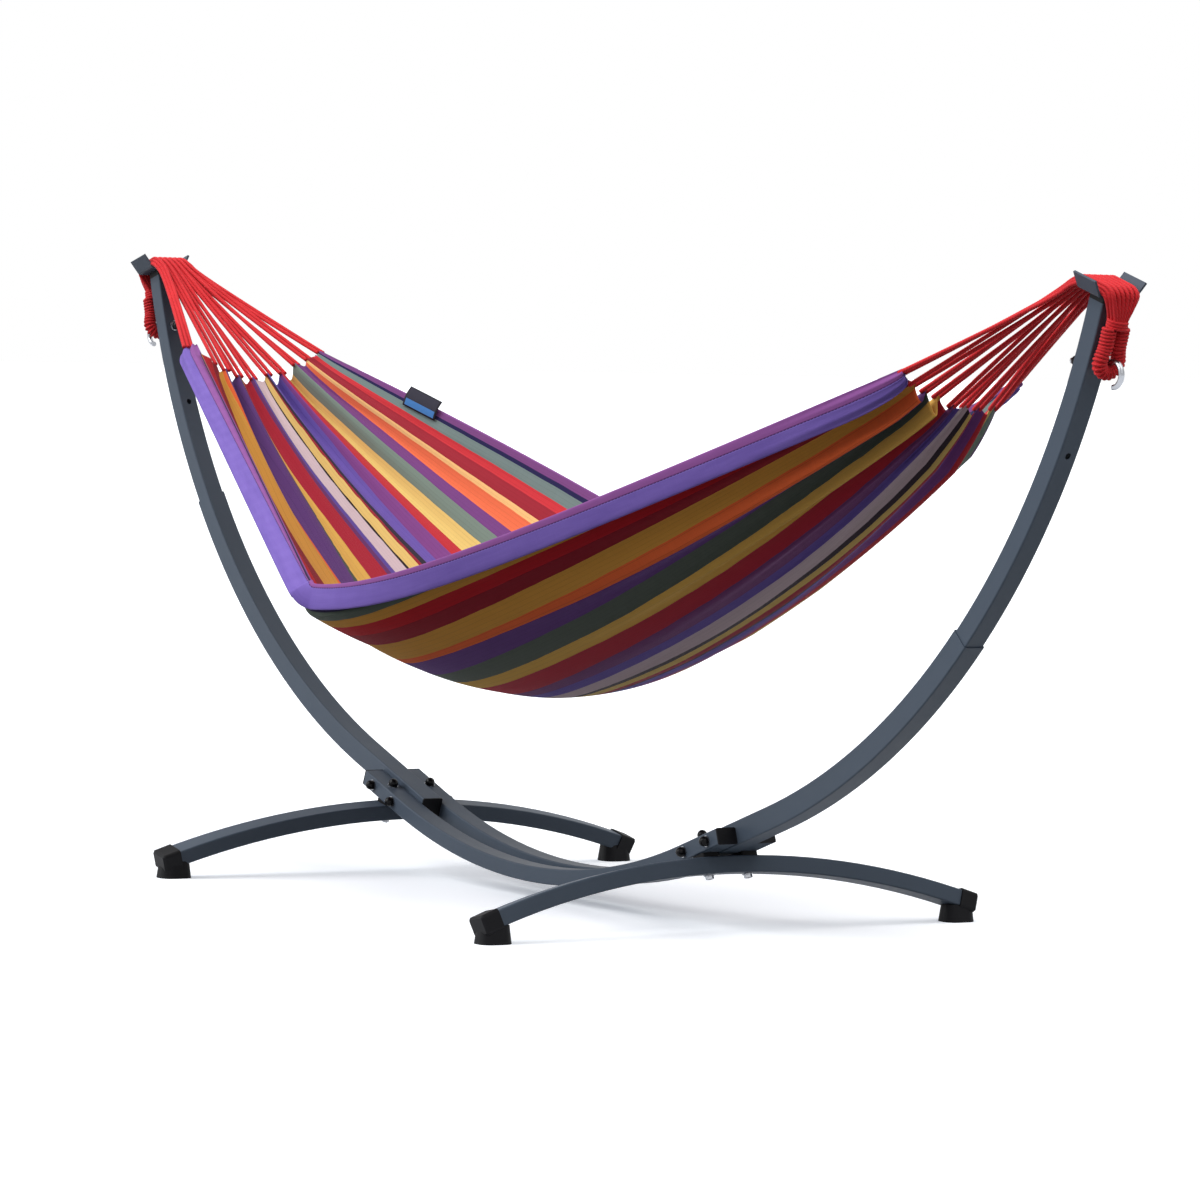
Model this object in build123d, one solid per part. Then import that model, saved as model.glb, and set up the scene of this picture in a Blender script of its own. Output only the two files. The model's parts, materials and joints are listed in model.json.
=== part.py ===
from build123d import *
import os
from math import acos, asin, cos, degrees, hypot, radians, sin, sqrt

# Hammock on a curved steel stand. Millimetres and degrees, +Z up, origin on the floor
# below the middle of the stand, X along the hammock, Y across it.

# Steel tubes
base_tube_width = 40.0
base_tube_height = 30.0
base_tube_wall = 2.0
lower_post_size = 42.0
lower_post_wall = 1.75
upper_post_wall = 1.5
tube_corner_radius = 3.0
sliding_clearance = 0.25
contact_clearance = 0.1

# Twin rails of the base
rail_ground_clearance = 33.0
rail_bend_radius = 1400.0
rail_slope = 20.0
rail_end_run = 120.0
plug_depth = 18.0
plug_face = 3.0
bent_plug_clearance = 0.35

# Posts
post_run = 220.0
post_lift = 4.5
post_tail = 30.0
post_bend_radius = 1395.0
post_top_angle = 73.3
seam_angles = {"left": 52.8, "right": 46.3}
seam_overlap = 70.0
lock_screw_diameter = 5.0
hook_height = 1024.0
spare_hole_height = 870.0
hook_hole_diameter = 10.5

# Arched cross feet
foot_bend_radius = 1600.0
foot_half_span = 518.0
foot_tilt = 12.0
shim_thickness = 5.0
cap_wall = 3.0
cap_sleeve_length = 28.0
cap_nose = 9.0
pad_length = 64.0
pad_width = 50.0
pad_taper = 8.0
cap_edge_radius = 4.0

# Bolts of the base joints
joint_bolt_diameter = 8.0
bolt_hole_clearance = 0.4
joint_bolt_run = 50.0
joint_bolt_pitch = 75.0
washer_diameter = 20.0
washer_thickness = 1.6
dome_diameter = 18.0
dome_skirt = 5.0
dome_rise = 8.0
bolt_stick_out = 7.0
nut_across_flats = 13.0
nut_thickness = 6.5

# Cord saddle on the post top
top_cap_height = 12.0
top_cap_depth = 28.0
saddle_length = 58.0
saddle_base_width = 72.0
saddle_wing_length = 30.0
saddle_wing_angle = 58.0
saddle_thickness = 4.0
saddle_bend_radius = 6.0
saddle_screw_diameter = 6.0
saddle_screw_length = 30.0
saddle_head_diameter = 11.0

# Steel hook through the post
hook_rod_diameter = 10.0
hook_reach = 61.0
hook_bend_radius = 20.0
hook_inner_reach = 46.0
hook_nut_across_flats = 17.0
hook_nut_thickness = 5.0
hook_washer_diameter = 21.0
hook_washer_lip = 1.0

# Rope eye that hangs on the hook, and the cords over the saddle
eye_rope_diameter = 24.0
eye_leg_spacing = 36.0
eye_leg_length = 56.0
eye_clearance = 0.3
whipping_height = 14.0
whipping_width = 42.0
whipping_depth = 30.0
neck_height = 24.0
band_width = 60.0
band_thickness = 16.0
band_clearance = 0.8
band_bend_radius = 10.0
band_tail = 68.0

# Clew cords
cord_count = 20
cord_diameter = 6.0
cord_layer_step = 5.8
cord_swing_gap = 8.0
cord_seam_depth = 10.0

# Cloth and its rolled hems
cloth_half_length = 1180.0
cloth_end_half_width = 138.0
cloth_end_height = 990.0
cloth_end_sag = 50.0
cloth_thickness = 3.0
hem_mid_half_width = 540.0
hem_mid_height = 570.0
hem_side_radius = 11000.0
hem_corner_radius = 120.0
hem_width = 46.0
hem_thickness = 8.0
belly_height = 367.0
belly_power = 1.5
fold_count = 6
fold_depth = 20.0
fold_start = 0.35
cloth_stations = (0.0, 0.06, 0.16, 0.3, 0.45, 0.6, 0.75, 0.9, 1.0)

# Derived sizes of the stand
upper_post_size = lower_post_size - 2 * lower_post_wall - 2 * sliding_clearance
joint_hole_diameter = joint_bolt_diameter + bolt_hole_clearance
rail_offset = lower_post_size / 2 + contact_clearance + base_tube_width / 2
slope_along = Vector(cos(radians(rail_slope)), 0, sin(radians(rail_slope)))
slope_up = Vector(-sin(radians(rail_slope)), 0, cos(radians(rail_slope)))
rail_low_point = Vector(0, 0, rail_ground_clearance + base_tube_height / 2)
joint_origin = rail_low_point + Vector(
    rail_bend_radius * sin(radians(rail_slope)),
    0,
    rail_bend_radius * (1 - cos(radians(rail_slope))),
)


def joint_point(run, rise=0.0, across=0.0):
    """Point by the sloping rail end: run up the slope, rise square to it."""
    return joint_origin + slope_along * run + slope_up * rise + Vector(0, across, 0)


post_centre = joint_point(post_run, post_lift + post_bend_radius)


def post_point(angle, outward=0.0):
    """Point beside the bent part of the right post, angle counted from straight down."""
    reach = post_bend_radius + outward
    turn = radians(angle)
    return post_centre + Vector(reach * sin(turn), 0, -reach * cos(turn))


def post_angle_at(height):
    """Angle on the post's bend where its centre line reaches a height."""
    return degrees(acos((post_centre.Z - height) / post_bend_radius))


def post_arc(first, last):
    """Centre line of the right post between two angles of its bend."""
    return ThreePointArc(post_point(first), post_point((first + last) / 2), post_point(last))


top_tangent = Vector(cos(radians(post_top_angle)), 0, sin(radians(post_top_angle)))
top_outward = Vector(sin(radians(post_top_angle)), 0, -cos(radians(post_top_angle)))
post_top = post_point(post_top_angle)


def top_point(outward=0.0, up=0.0):
    """Point by the right post's top: outward square to the post, up along it."""
    return post_top + top_outward * outward + top_tangent * up


def top_plane(up=0.0):
    """Plane square to the post's top end, local x outward and local y along Y."""
    return Plane(origin=top_point(0, up), x_dir=top_outward, z_dir=top_tangent)


def tube(path, across, width, height, wall):
    """Hollow tube with rounded corners along a path; its width lies along across."""
    plane = Plane(origin=path @ 0, x_dir=across, z_dir=path % 0)
    outer = sweep(plane * RectangleRounded(width, height, tube_corner_radius), path=path)
    inner = sweep(plane * Rectangle(width - 2 * wall, height - 2 * wall), path=path)
    return outer - inner


def rod(start, end, diameter):
    """Plain round bar from one point to another."""
    axis = end - start
    return Plane(origin=start, z_dir=axis) * Cylinder(
        diameter / 2, axis.length, align=(Align.CENTER, Align.CENTER, Align.MIN)
    )


def washer(outer_diameter, bore_diameter, thickness):
    """Flat washer standing on the XY plane."""
    ring = Circle(outer_diameter / 2) - Circle(bore_diameter / 2)
    return extrude(ring, thickness)


def hex_nut(across_flats, bore_diameter, thickness):
    """Hexagon nut standing on the XY plane."""
    outline = RegularPolygon(across_flats / 2, 6, major_radius=False) - Circle(bore_diameter / 2)
    return extrude(outline, thickness)


def dome_cap(bore_diameter, bore_depth):
    """Round domed cap nut standing on the XY plane, its bore open below."""
    radius = dome_diameter / 2
    top = dome_skirt + dome_rise
    centre = dome_skirt + (dome_rise**2 - radius**2) / (2 * dome_rise)
    ball = top - centre
    half_way = asin(radius / ball) / 2
    profile = [
        Line((0, 0, 0), (radius, 0, 0)),
        Line((radius, 0, 0), (radius, 0, dome_skirt)),
        ThreePointArc(
            (radius, 0, dome_skirt),
            (ball * sin(half_way), 0, centre + ball * cos(half_way)),
            (0, 0, top),
        ),
        Line((0, 0, top), (0, 0, 0)),
    ]
    dome = revolve(Face(Wire(profile)), axis=Axis.Z)
    return dome - rod(Vector(0, 0, 0), Vector(0, 0, bore_depth), bore_diameter)


def both_sides(part):
    """The right-hand solid and its mirror image on the left."""
    return [part, mirror(part, about=Plane.YZ)]


def front_and_rear(part):
    """The rear solid and its mirror image at the front."""
    return [part, mirror(part, about=Plane.XZ)]


def joint_bolt_points():
    """Places of the two cross bolts at the right-hand joint."""
    half = joint_bolt_pitch / 2
    return [joint_point(joint_bolt_run - half), joint_point(joint_bolt_run + half)]


def cross_holes(diameter):
    """Drills for the cross bolts of both joints."""
    reach = Vector(0, rail_offset + base_tube_width, 0)
    drills = []
    for point in joint_bolt_points():
        drills += both_sides(rod(point - reach, point + reach, diameter))
    return drills


def foot_bolt_holes(across, diameter):
    """Drills for the foot bolts of both joints in the rail at one side."""
    depth = base_tube_height * 2 + shim_thickness
    top = joint_point(joint_bolt_run, base_tube_height, across)
    bottom = joint_point(joint_bolt_run, -depth, across)
    return both_sides(rod(top, bottom, diameter))


def make_rail(across):
    """One rail of the base: bent in the middle, straight and sloping at both ends."""
    shift = Vector(0, across, 0)
    right_bend = joint_origin + shift
    right_end = joint_point(rail_end_run, 0, across)
    left_bend = Vector(-right_bend.X, right_bend.Y, right_bend.Z)
    left_end = Vector(-right_end.X, right_end.Y, right_end.Z)
    path = Wire(
        [
            Line(left_end, left_bend),
            ThreePointArc(left_bend, rail_low_point + shift, right_bend),
            Line(right_bend, right_end),
        ]
    )
    rail = tube(path, (0, 1, 0), base_tube_width, base_tube_height, base_tube_wall)
    for drill in cross_holes(joint_hole_diameter) + foot_bolt_holes(across, joint_hole_diameter):
        rail -= drill
    return rail


def make_plug(plane, width, height, wall):
    """Moulded plug for a tube end: plane lies on the end and faces out of the tube."""
    face = extrude(RectangleRounded(width, height, tube_corner_radius), plug_face)
    hub_width = width - 2 * wall - 2 * contact_clearance
    hub_height = height - 2 * wall - 2 * contact_clearance
    hub = extrude(Rectangle(hub_width, hub_height), -plug_depth)
    return plane * (face + hub)


def make_rail_plugs():
    """Black plugs in the four rail ends."""
    plugs = []
    for across in (-rail_offset, rail_offset):
        end = Plane(
            origin=joint_point(rail_end_run, 0, across), x_dir=(0, 1, 0), z_dir=slope_along
        )
        plugs += both_sides(make_plug(end, base_tube_width, base_tube_height, base_tube_wall))
    return plugs


foot_along = Vector(cos(radians(foot_tilt)), 0, sin(radians(foot_tilt)))
foot_up = Vector(-sin(radians(foot_tilt)), 0, cos(radians(foot_tilt)))
foot_lean = radians(rail_slope - foot_tilt)
foot_crown = joint_point(
    joint_bolt_run, -base_tube_height / 2 * (1 + 1 / cos(foot_lean)) - shim_thickness
)


def foot_point(angle):
    """Point on the centre line of the right cross foot, angle counted from its crown."""
    turn = radians(angle)
    across = Vector(0, foot_bend_radius * sin(turn), 0)
    return foot_crown + across - foot_up * foot_bend_radius * (1 - cos(turn))


foot_end_angle = degrees(asin(foot_half_span / foot_bend_radius))
foot_end = foot_point(foot_end_angle)
foot_end_along = Vector(0, cos(radians(foot_end_angle)), 0) - foot_up * sin(radians(foot_end_angle))


def foot_path():
    """Centre line of the right cross foot, front to rear."""
    return ThreePointArc(foot_point(-foot_end_angle), foot_point(0), foot_point(foot_end_angle))


def foot_solid(growth=0.0):
    """The right cross foot as a solid bar, grown on all four sides."""
    path = foot_path()
    plane = Plane(origin=path @ 0, x_dir=foot_along, z_dir=path % 0)
    outline = RectangleRounded(
        base_tube_width + 2 * growth, base_tube_height + 2 * growth, tube_corner_radius + growth
    )
    return sweep(plane * outline, path=path)


def make_foot_beam():
    """Arched cross foot under the right joint, with its two bolt holes."""
    beam = tube(foot_path(), foot_along, base_tube_width, base_tube_height, base_tube_wall)
    for across in (-rail_offset, rail_offset):
        beam -= foot_bolt_holes(across, joint_hole_diameter)[0]
    return beam


def make_shims():
    """Black wedges between the sloping rails and the crown of the right cross foot."""
    width = base_tube_width - 2 * tube_corner_radius
    shims = []
    for across in (-rail_offset, rail_offset):
        seat = Plane(
            origin=joint_point(joint_bolt_run, -base_tube_height / 2, across),
            x_dir=slope_along,
            z_dir=-slope_up,
        )
        shim = extrude(seat * RectangleRounded(width, width, tube_corner_radius), 4 * shim_thickness)
        shims.append(shim - foot_solid() - foot_bolt_holes(across, joint_hole_diameter)[0])
    return shims


def make_foot_cap():
    """Moulded cap on the rear end of the right cross foot, with a flat pad below."""
    outline = RectangleRounded(
        base_tube_width + 2 * cap_wall, base_tube_height + 2 * cap_wall, tube_corner_radius + cap_wall
    )
    start = Plane(
        origin=foot_end - foot_end_along * cap_sleeve_length, x_dir=foot_along, z_dir=foot_end_along
    )
    sleeve = extrude(start * outline, cap_sleeve_length + cap_nose)
    sleeve = chamfer(sleeve.faces().sort_by(Axis.Y)[-1].edges(), cap_edge_radius)
    pad_centre = foot_end.Y + cap_nose - pad_length / 2
    pad_outline = Pos(foot_end.X, pad_centre) * RectangleRounded(
        pad_width, pad_length, pad_width / 2 - cap_edge_radius
    )
    pad = extrude(pad_outline, foot_end.Z, taper=pad_taper)
    return sleeve + pad - foot_solid(contact_clearance)


def make_lower_post(side):
    """Lower section of the right post, clamped between the rails."""
    seam = seam_angles[side]
    path = Wire(
        [Line(joint_point(-post_tail, post_lift), joint_point(post_run, post_lift)), post_arc(rail_slope, seam)]
    )
    post = tube(path, (0, 1, 0), lower_post_size, lower_post_size, lower_post_wall)
    for drill in cross_holes(joint_hole_diameter):
        post -= drill
    return post - lock_screw_drill(side)


def lock_screw_angle(side):
    """Angle on the post's bend of the screw through the overlap of the two sections."""
    return seam_angles[side] - degrees(seam_overlap / 2 / post_bend_radius)


def lock_screw_drill(side):
    """Drill through the rear walls of both post sections for the locking screw."""
    start = post_point(lock_screw_angle(side))
    end = start + Vector(0, lower_post_size, 0)
    return rod(start, end, lock_screw_diameter + bolt_hole_clearance)


def make_lock_screw(side):
    """Pan-head screw that locks the upper post section in the lower one."""
    start = post_point(lock_screw_angle(side)) + Vector(0, lower_post_size / 2 - plug_depth / 2, 0)
    seat = post_point(lock_screw_angle(side)) + Vector(0, lower_post_size / 2, 0)
    head = rod(seat, seat + Vector(0, plug_face, 0), 2 * lock_screw_diameter)
    return rod(start, seat, lock_screw_diameter) + head


def make_post_plug():
    """Black plug in the lower end of the right post, between the rails."""
    end = Plane(
        origin=joint_point(-post_tail, post_lift), x_dir=(0, 1, 0), z_dir=-slope_along
    )
    return make_plug(end, lower_post_size, lower_post_size, lower_post_wall)


def hook_axis_point(height):
    """Point where a level line at this height meets the right post's centre line."""
    return post_point(post_angle_at(height))


def make_upper_post(side):
    """Upper section of the right post, sliding into the lower one, with its hook holes."""
    start = seam_angles[side] - degrees(seam_overlap / post_bend_radius)
    path = Wire([post_arc(start, post_top_angle)])
    post = tube(path, (0, 1, 0), upper_post_size, upper_post_size, upper_post_wall)
    reach = Vector(lower_post_size, 0, 0)
    for height in (hook_height, spare_hole_height):
        centre = hook_axis_point(height)
        post -= rod(centre - reach, centre + reach, hook_hole_diameter)
    return post - lock_screw_drill(side)


def make_top_cap():
    """Black cap plugged into the right post's top, carrying the saddle."""
    hub_size = upper_post_size - 2 * upper_post_wall - 2 * bent_plug_clearance
    flange = extrude(
        RectangleRounded(upper_post_size, upper_post_size, tube_corner_radius), top_cap_height
    )
    hub = extrude(Rectangle(hub_size, hub_size), -top_cap_depth)
    screw_tip = top_cap_height + saddle_thickness - saddle_screw_length
    hole = rod(Vector(0, 0, screw_tip), Vector(0, 0, top_cap_height), saddle_screw_diameter)
    return top_plane() * (flange + hub - hole)


def saddle_profile():
    """Outline of the bent saddle plate, across the post in local y and up in local z."""
    half = saddle_base_width / 2
    turn = radians(saddle_wing_angle)
    tip = (half + saddle_wing_length * cos(turn), saddle_wing_length * sin(turn))
    middle = FilletPolyline(
        (-tip[0], tip[1]), (-half, 0), (half, 0), tip, radius=saddle_bend_radius
    )
    return trace(middle, saddle_thickness)


def make_saddle():
    """Bent steel plate with two flared wings that keeps the cords on the right post."""
    up = top_cap_height + saddle_thickness / 2
    origin = top_point(-saddle_length / 2, up)
    plate = Plane(origin=origin, x_dir=(0, 1, 0), z_dir=top_outward)
    saddle = extrude(plate * saddle_profile(), saddle_length)
    saddle -= top_plane() * make_saddle_screw(contact_clearance)
    return saddle


def make_saddle_screw(growth=0.0):
    """Countersunk screw, flush with the saddle, in the local frame of the post's top."""
    top = top_cap_height + saddle_thickness
    head_depth = (saddle_head_diameter - saddle_screw_diameter) / 2
    shank = rod(
        Vector(0, 0, top - saddle_screw_length),
        Vector(0, 0, top - head_depth),
        saddle_screw_diameter + 2 * growth,
    )
    head = Pos(0, 0, top - head_depth / 2) * Cone(
        saddle_screw_diameter / 2 + growth, saddle_head_diameter / 2 + growth, head_depth
    )
    return shank + head


def make_hook():
    """Hook bolt through the right post: a level shank bent round into a U outside."""
    centre = hook_axis_point(hook_height)
    inner = centre - Vector(hook_inner_reach, 0, 0)
    bend_start = centre + Vector(hook_reach, 0, 0)
    bend_side = bend_start + Vector(hook_bend_radius, 0, -hook_bend_radius)
    bend_end = bend_start + Vector(0, 0, -2 * hook_bend_radius)
    path = Wire([Line(inner, bend_start), ThreePointArc(bend_start, bend_side, bend_end)])
    section = Plane(origin=inner, z_dir=path % 0) * Circle(hook_rod_diameter / 2)
    return sweep(section, path=path)


def hook_washer_face():
    """Distance along the hook from the post's centre line to the washer's level face."""
    lean = radians(90 - post_angle_at(hook_height))
    post_face = upper_post_size / 2 / cos(lean)
    return post_face + hook_washer_diameter / 2 * sin(lean) / cos(lean) + hook_washer_lip


def make_hook_washers():
    """Tapered washers on both faces of the leaning right post, square to the level hook."""
    centre = hook_axis_point(hook_height)
    face = Vector(hook_washer_face(), 0, 0)
    path = Wire([post_arc(post_angle_at(hook_height) - 3, post_angle_at(hook_height) + 3)])
    section = Plane(origin=path @ 0, x_dir=(0, 1, 0), z_dir=path % 0)
    post = sweep(section * Rectangle(2 * upper_post_size, upper_post_size), path=path)
    disc = rod(centre - face, centre + face, hook_washer_diameter)
    disc -= rod(centre - 2 * face, centre + 2 * face, hook_rod_diameter + bolt_hole_clearance)
    return list((disc - post).solids())


def make_hook_nuts():
    """Nuts on the outer and inner side of the right post."""
    centre = hook_axis_point(hook_height)
    nut = hex_nut(hook_nut_across_flats, hook_rod_diameter, hook_nut_thickness)
    outer = Plane(origin=centre + Vector(hook_washer_face(), 0, 0), x_dir=(0, 1, 0), z_dir=(1, 0, 0))
    inner = Plane(origin=centre - Vector(hook_washer_face(), 0, 0), x_dir=(0, 1, 0), z_dir=(-1, 0, 0))
    return [outer * nut, inner * nut]


def make_hook_dome():
    """Black rounded cap over the inner end of the right hook's thread."""
    start = hook_axis_point(hook_height) - Vector(hook_washer_face() + hook_nut_thickness, 0, 0)
    bore_depth = hook_inner_reach - hook_washer_face() - hook_nut_thickness
    base = Plane(origin=start, x_dir=(0, 1, 0), z_dir=(-1, 0, 0))
    return base * dome_cap(hook_rod_diameter, bore_depth)


def make_joint_bolts():
    """Cross bolts that clamp the posts between the rails."""
    half = rail_offset + base_tube_width / 2 + washer_thickness + bolt_stick_out
    bolts = []
    for point in joint_bolt_points():
        reach = Vector(0, half, 0)
        bolts += both_sides(rod(point - reach, point + reach, joint_bolt_diameter))
    return bolts


def make_joint_washers():
    """Washers under the domed caps of the cross bolts."""
    ring = washer(washer_diameter, joint_hole_diameter, washer_thickness)
    face = Vector(0, rail_offset + base_tube_width / 2, 0)
    washers = []
    for point in joint_bolt_points():
        rear = Plane(origin=point + face, x_dir=(1, 0, 0), z_dir=(0, 1, 0)) * ring
        for part in front_and_rear(rear):
            washers += both_sides(part)
    return washers


def make_joint_caps():
    """Black domed caps on both ends of the cross bolts."""
    cap = dome_cap(joint_bolt_diameter, bolt_stick_out)
    face = Vector(0, rail_offset + base_tube_width / 2 + washer_thickness, 0)
    caps = []
    for point in joint_bolt_points():
        rear = Plane(origin=point + face, x_dir=(1, 0, 0), z_dir=(0, 1, 0)) * cap
        for part in front_and_rear(rear):
            caps += both_sides(part)
    return caps


def foot_bolt_plane(rise, up):
    """Plane square to the right joint's rear foot bolt, facing up or down the bolt."""
    return Plane(
        origin=joint_point(joint_bolt_run, rise, rail_offset),
        x_dir=slope_along,
        z_dir=slope_up if up else -slope_up,
    )


def foot_underside():
    """Rise, along the foot bolts, of the level face of the tapered washers below the feet."""
    crown = base_tube_height / 2 + shim_thickness + base_tube_height / cos(foot_lean)
    reach = rail_offset + washer_diameter / 2
    sag = foot_bend_radius - sqrt(foot_bend_radius**2 - reach**2)
    taper = washer_diameter / 2 * sin(foot_lean) / cos(foot_lean)
    return -crown - sag - taper - washer_thickness / 2


def make_foot_bolts():
    """Bolts that hold the rails down on the cross feet."""
    top = joint_point(joint_bolt_run, base_tube_height / 2 + washer_thickness + bolt_stick_out, rail_offset)
    low = foot_underside() - nut_thickness
    bottom = joint_point(joint_bolt_run, low, rail_offset)
    bolts = []
    for part in front_and_rear(rod(top, bottom, joint_bolt_diameter)):
        bolts += both_sides(part)
    return bolts


def make_foot_bolt_pieces(piece, rise, up):
    """Copies of a washer, cap or nut on all four foot bolts."""
    copies = []
    for part in front_and_rear(foot_bolt_plane(rise, up) * piece):
        copies += both_sides(part)
    return copies


def make_foot_washers():
    """Flat washers above the rails and tapered ones below the cross feet."""
    ring = washer(washer_diameter, joint_hole_diameter, washer_thickness)
    above = make_foot_bolt_pieces(ring, base_tube_height / 2, True)
    depth = -foot_underside() - base_tube_height / 2 - shim_thickness - base_tube_height / 2
    ring = washer(washer_diameter, joint_hole_diameter, -depth)
    below = foot_bolt_plane(foot_underside(), False) * ring - foot_solid()
    for part in front_and_rear(below):
        above += both_sides(part)
    return above


def make_foot_caps_on_bolts():
    """Black domed caps on the foot bolts, above the rails."""
    cap = dome_cap(joint_bolt_diameter, bolt_stick_out)
    return make_foot_bolt_pieces(cap, base_tube_height / 2 + washer_thickness, True)


def make_foot_nuts():
    """Bright nuts under the cross feet."""
    nut = hex_nut(nut_across_flats, joint_bolt_diameter, nut_thickness)
    return make_foot_bolt_pieces(nut, foot_underside(), False)


eye_bottom = hook_axis_point(hook_height) + Vector(
    hook_washer_face() + hook_nut_thickness + eye_rope_diameter / 2 + sliding_clearance,
    0,
    -(hook_rod_diameter + eye_rope_diameter) / 2 - eye_clearance,
)


def eye_point(across, up):
    """Point in the plane of the right rope eye, up along the post from the eye's bottom."""
    return eye_bottom + Vector(0, across, 0) + top_tangent * up


eye_top = eye_leg_spacing / 2 + eye_leg_length


def make_eye():
    """Thick wound rope eye that hangs on the right hook, as a U of constant thickness."""
    half = eye_leg_spacing / 2
    path = Wire(
        [
            Line(eye_point(-half, eye_top), eye_point(-half, half)),
            ThreePointArc(eye_point(-half, half), eye_point(0, 0), eye_point(half, half)),
            Line(eye_point(half, half), eye_point(half, eye_top)),
        ]
    )
    section = Plane(origin=path @ 0, z_dir=path % 0) * Circle(eye_rope_diameter / 2)
    return sweep(section, path=path)


def neck_outline(width, depth):
    """Rounded outline across the rope neck."""
    return RectangleRounded(depth, width, min(width, depth) / 2 - 1)


def eye_plane(up):
    """Plane square to the rope neck, local x outward and local y along Y."""
    return Plane(origin=eye_point(0, up), x_dir=top_outward, z_dir=top_tangent)


def make_whipping():
    """Turns of cord that bind the right eye's neck, as one band."""
    wide = neck_outline(eye_leg_spacing + eye_rope_diameter, eye_rope_diameter)
    narrow = neck_outline(whipping_width, whipping_depth)
    sections = [eye_plane(eye_top) * wide, eye_plane(eye_top + whipping_height) * narrow]
    return loft(sections, ruled=True)


def band_corners():
    """Corners of the cord band's route over the right saddle, outside to inside."""
    deck = top_cap_height + saddle_thickness + band_clearance + band_thickness / 2
    edge = saddle_length / 2 + band_clearance + band_thickness / 2
    start = eye_point(0, eye_top + whipping_height + neck_height)
    outer = top_point(edge, deck)
    inner = top_point(-edge, deck)
    fan = Vector(cloth_half_length, 0, cloth_end_height - cloth_end_sag / 2) - inner
    return [start, outer, inner, inner + fan.normalized() * band_tail], fan.normalized()


def make_cord_band():
    """Cords gathered from the right eye over the saddle, as one flat band."""
    corners, _ = band_corners()
    route = FilletPolyline(*corners, radius=band_bend_radius)
    outline = RectangleRounded(band_width, band_thickness, band_thickness / 3)
    start = Plane(origin=route @ 0, x_dir=(0, 1, 0), z_dir=route % 0)
    band = sweep(start * outline, path=route)
    neck_top = eye_plane(eye_top + whipping_height)
    neck = loft([neck_top * neck_outline(whipping_width, whipping_depth), start * outline], ruled=True)
    return band + neck


# Line of the hems: two long gentle arcs joined by a tight one in the middle of each edge
hem_drop_vector = Vector(
    0, hem_mid_half_width - cloth_end_half_width, hem_mid_height - cloth_end_height
)
hem_drop = hem_drop_vector.length
hem_down = hem_drop_vector.normalized()
hem_normal = Vector(0, -hem_down.Z, hem_down.Y)
corner_centre = (0.0, hem_drop - hem_corner_radius)


def side_arc_centre():
    """Centre of a hem's long arc: through the hem's end and tangent to its middle bend."""
    near = hem_side_radius - hem_corner_radius
    step = (corner_centre[0] - cloth_half_length, corner_centre[1])
    span = hypot(*step)
    along = (hem_side_radius**2 - near**2 + span**2) / (2 * span)
    square = sqrt(hem_side_radius**2 - along**2)
    unit = (step[0] / span, step[1] / span)
    return (
        cloth_half_length + along * unit[0] - square * unit[1],
        along * unit[1] + square * unit[0],
    )


side_centre = side_arc_centre()
corner_reach = hem_corner_radius / hypot(corner_centre[0] - side_centre[0], corner_centre[1] - side_centre[1])
corner_tangent = (
    corner_centre[0] + (corner_centre[0] - side_centre[0]) * corner_reach,
    corner_centre[1] + (corner_centre[1] - side_centre[1]) * corner_reach,
)


def hem_fall(x):
    """How far the hem has fallen at x, along the slanting plane that it hangs in."""
    x = abs(x)
    if x < corner_tangent[0]:
        return corner_centre[1] + sqrt(hem_corner_radius**2 - x**2)
    return side_centre[1] + sqrt(hem_side_radius**2 - (x - side_centre[0]) ** 2)


def hem_point(x, inset=0.0):
    """Point of the rear hem at x, moved inset along the cloth towards the middle."""
    end = Vector(x, cloth_end_half_width, cloth_end_height)
    return end + hem_down * hem_fall(x) - hem_normal * inset


def make_hem():
    """Rolled hem along the rear edge of the cloth."""
    inset = hem_width / 2 - hem_thickness / 2

    def arc(first, last):
        return ThreePointArc(
            hem_point(first, inset), hem_point((first + last) / 2, inset), hem_point(last, inset)
        )

    bend = corner_tangent[0]
    path = Wire(
        [arc(-cloth_half_length, -bend), arc(-bend, bend), arc(bend, cloth_half_length)]
    )
    plane = Plane(origin=path @ 0, x_dir=hem_normal, z_dir=path % 0)
    return sweep(plane * RectangleRounded(hem_width, hem_thickness, hem_thickness / 3), path=path)


def cloth_bottom(x):
    """Height of the cloth's lowest line at x."""
    end = cloth_end_height - cloth_end_sag
    return belly_height + (end - belly_height) * (abs(x) / cloth_half_length) ** belly_power


def cloth_curve(x):
    """Centre height, radius and half angle of the cloth's cross-section at x."""
    edge = hem_point(x)
    sag = edge.Z - cloth_bottom(x)
    radius = (edge.Y**2 + sag**2) / (2 * sag)
    return cloth_bottom(x) + radius, radius, asin(edge.Y / radius)


def cloth_point(x, share, outward=0.0):
    """Point on the cross-section at x; share runs from -1 at the front hem to 1 at the rear."""
    height, radius, half_angle = cloth_curve(x)
    turn = share * half_angle
    reach = radius + outward
    return Vector(x, reach * sin(turn), height - reach * cos(turn))


def cloth_section(x):
    """Closed cross-section of the cloth at x, with folds that deepen towards the ends."""
    rise = max(0.0, (abs(x) / cloth_half_length - fold_start) / (1 - fold_start))
    bulge = fold_depth * rise**1.5
    shares = [2 * index / fold_count - 1 for index in range(fold_count + 1)]

    def side(outward, order):
        edges = []
        for first, last in zip(order, order[1:]):
            middle = cloth_point(x, (first + last) / 2, outward + bulge)
            edges.append(
                ThreePointArc(cloth_point(x, first, outward), middle, cloth_point(x, last, outward))
            )
        return edges

    half = cloth_thickness / 2
    outer = side(half, shares)
    inner = side(-half, shares[::-1])
    rear = Line(outer[-1] @ 1, inner[0] @ 0)
    front = Line(inner[-1] @ 1, outer[0] @ 0)
    return Face(Wire(outer + [rear] + inner + [front]))


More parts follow.
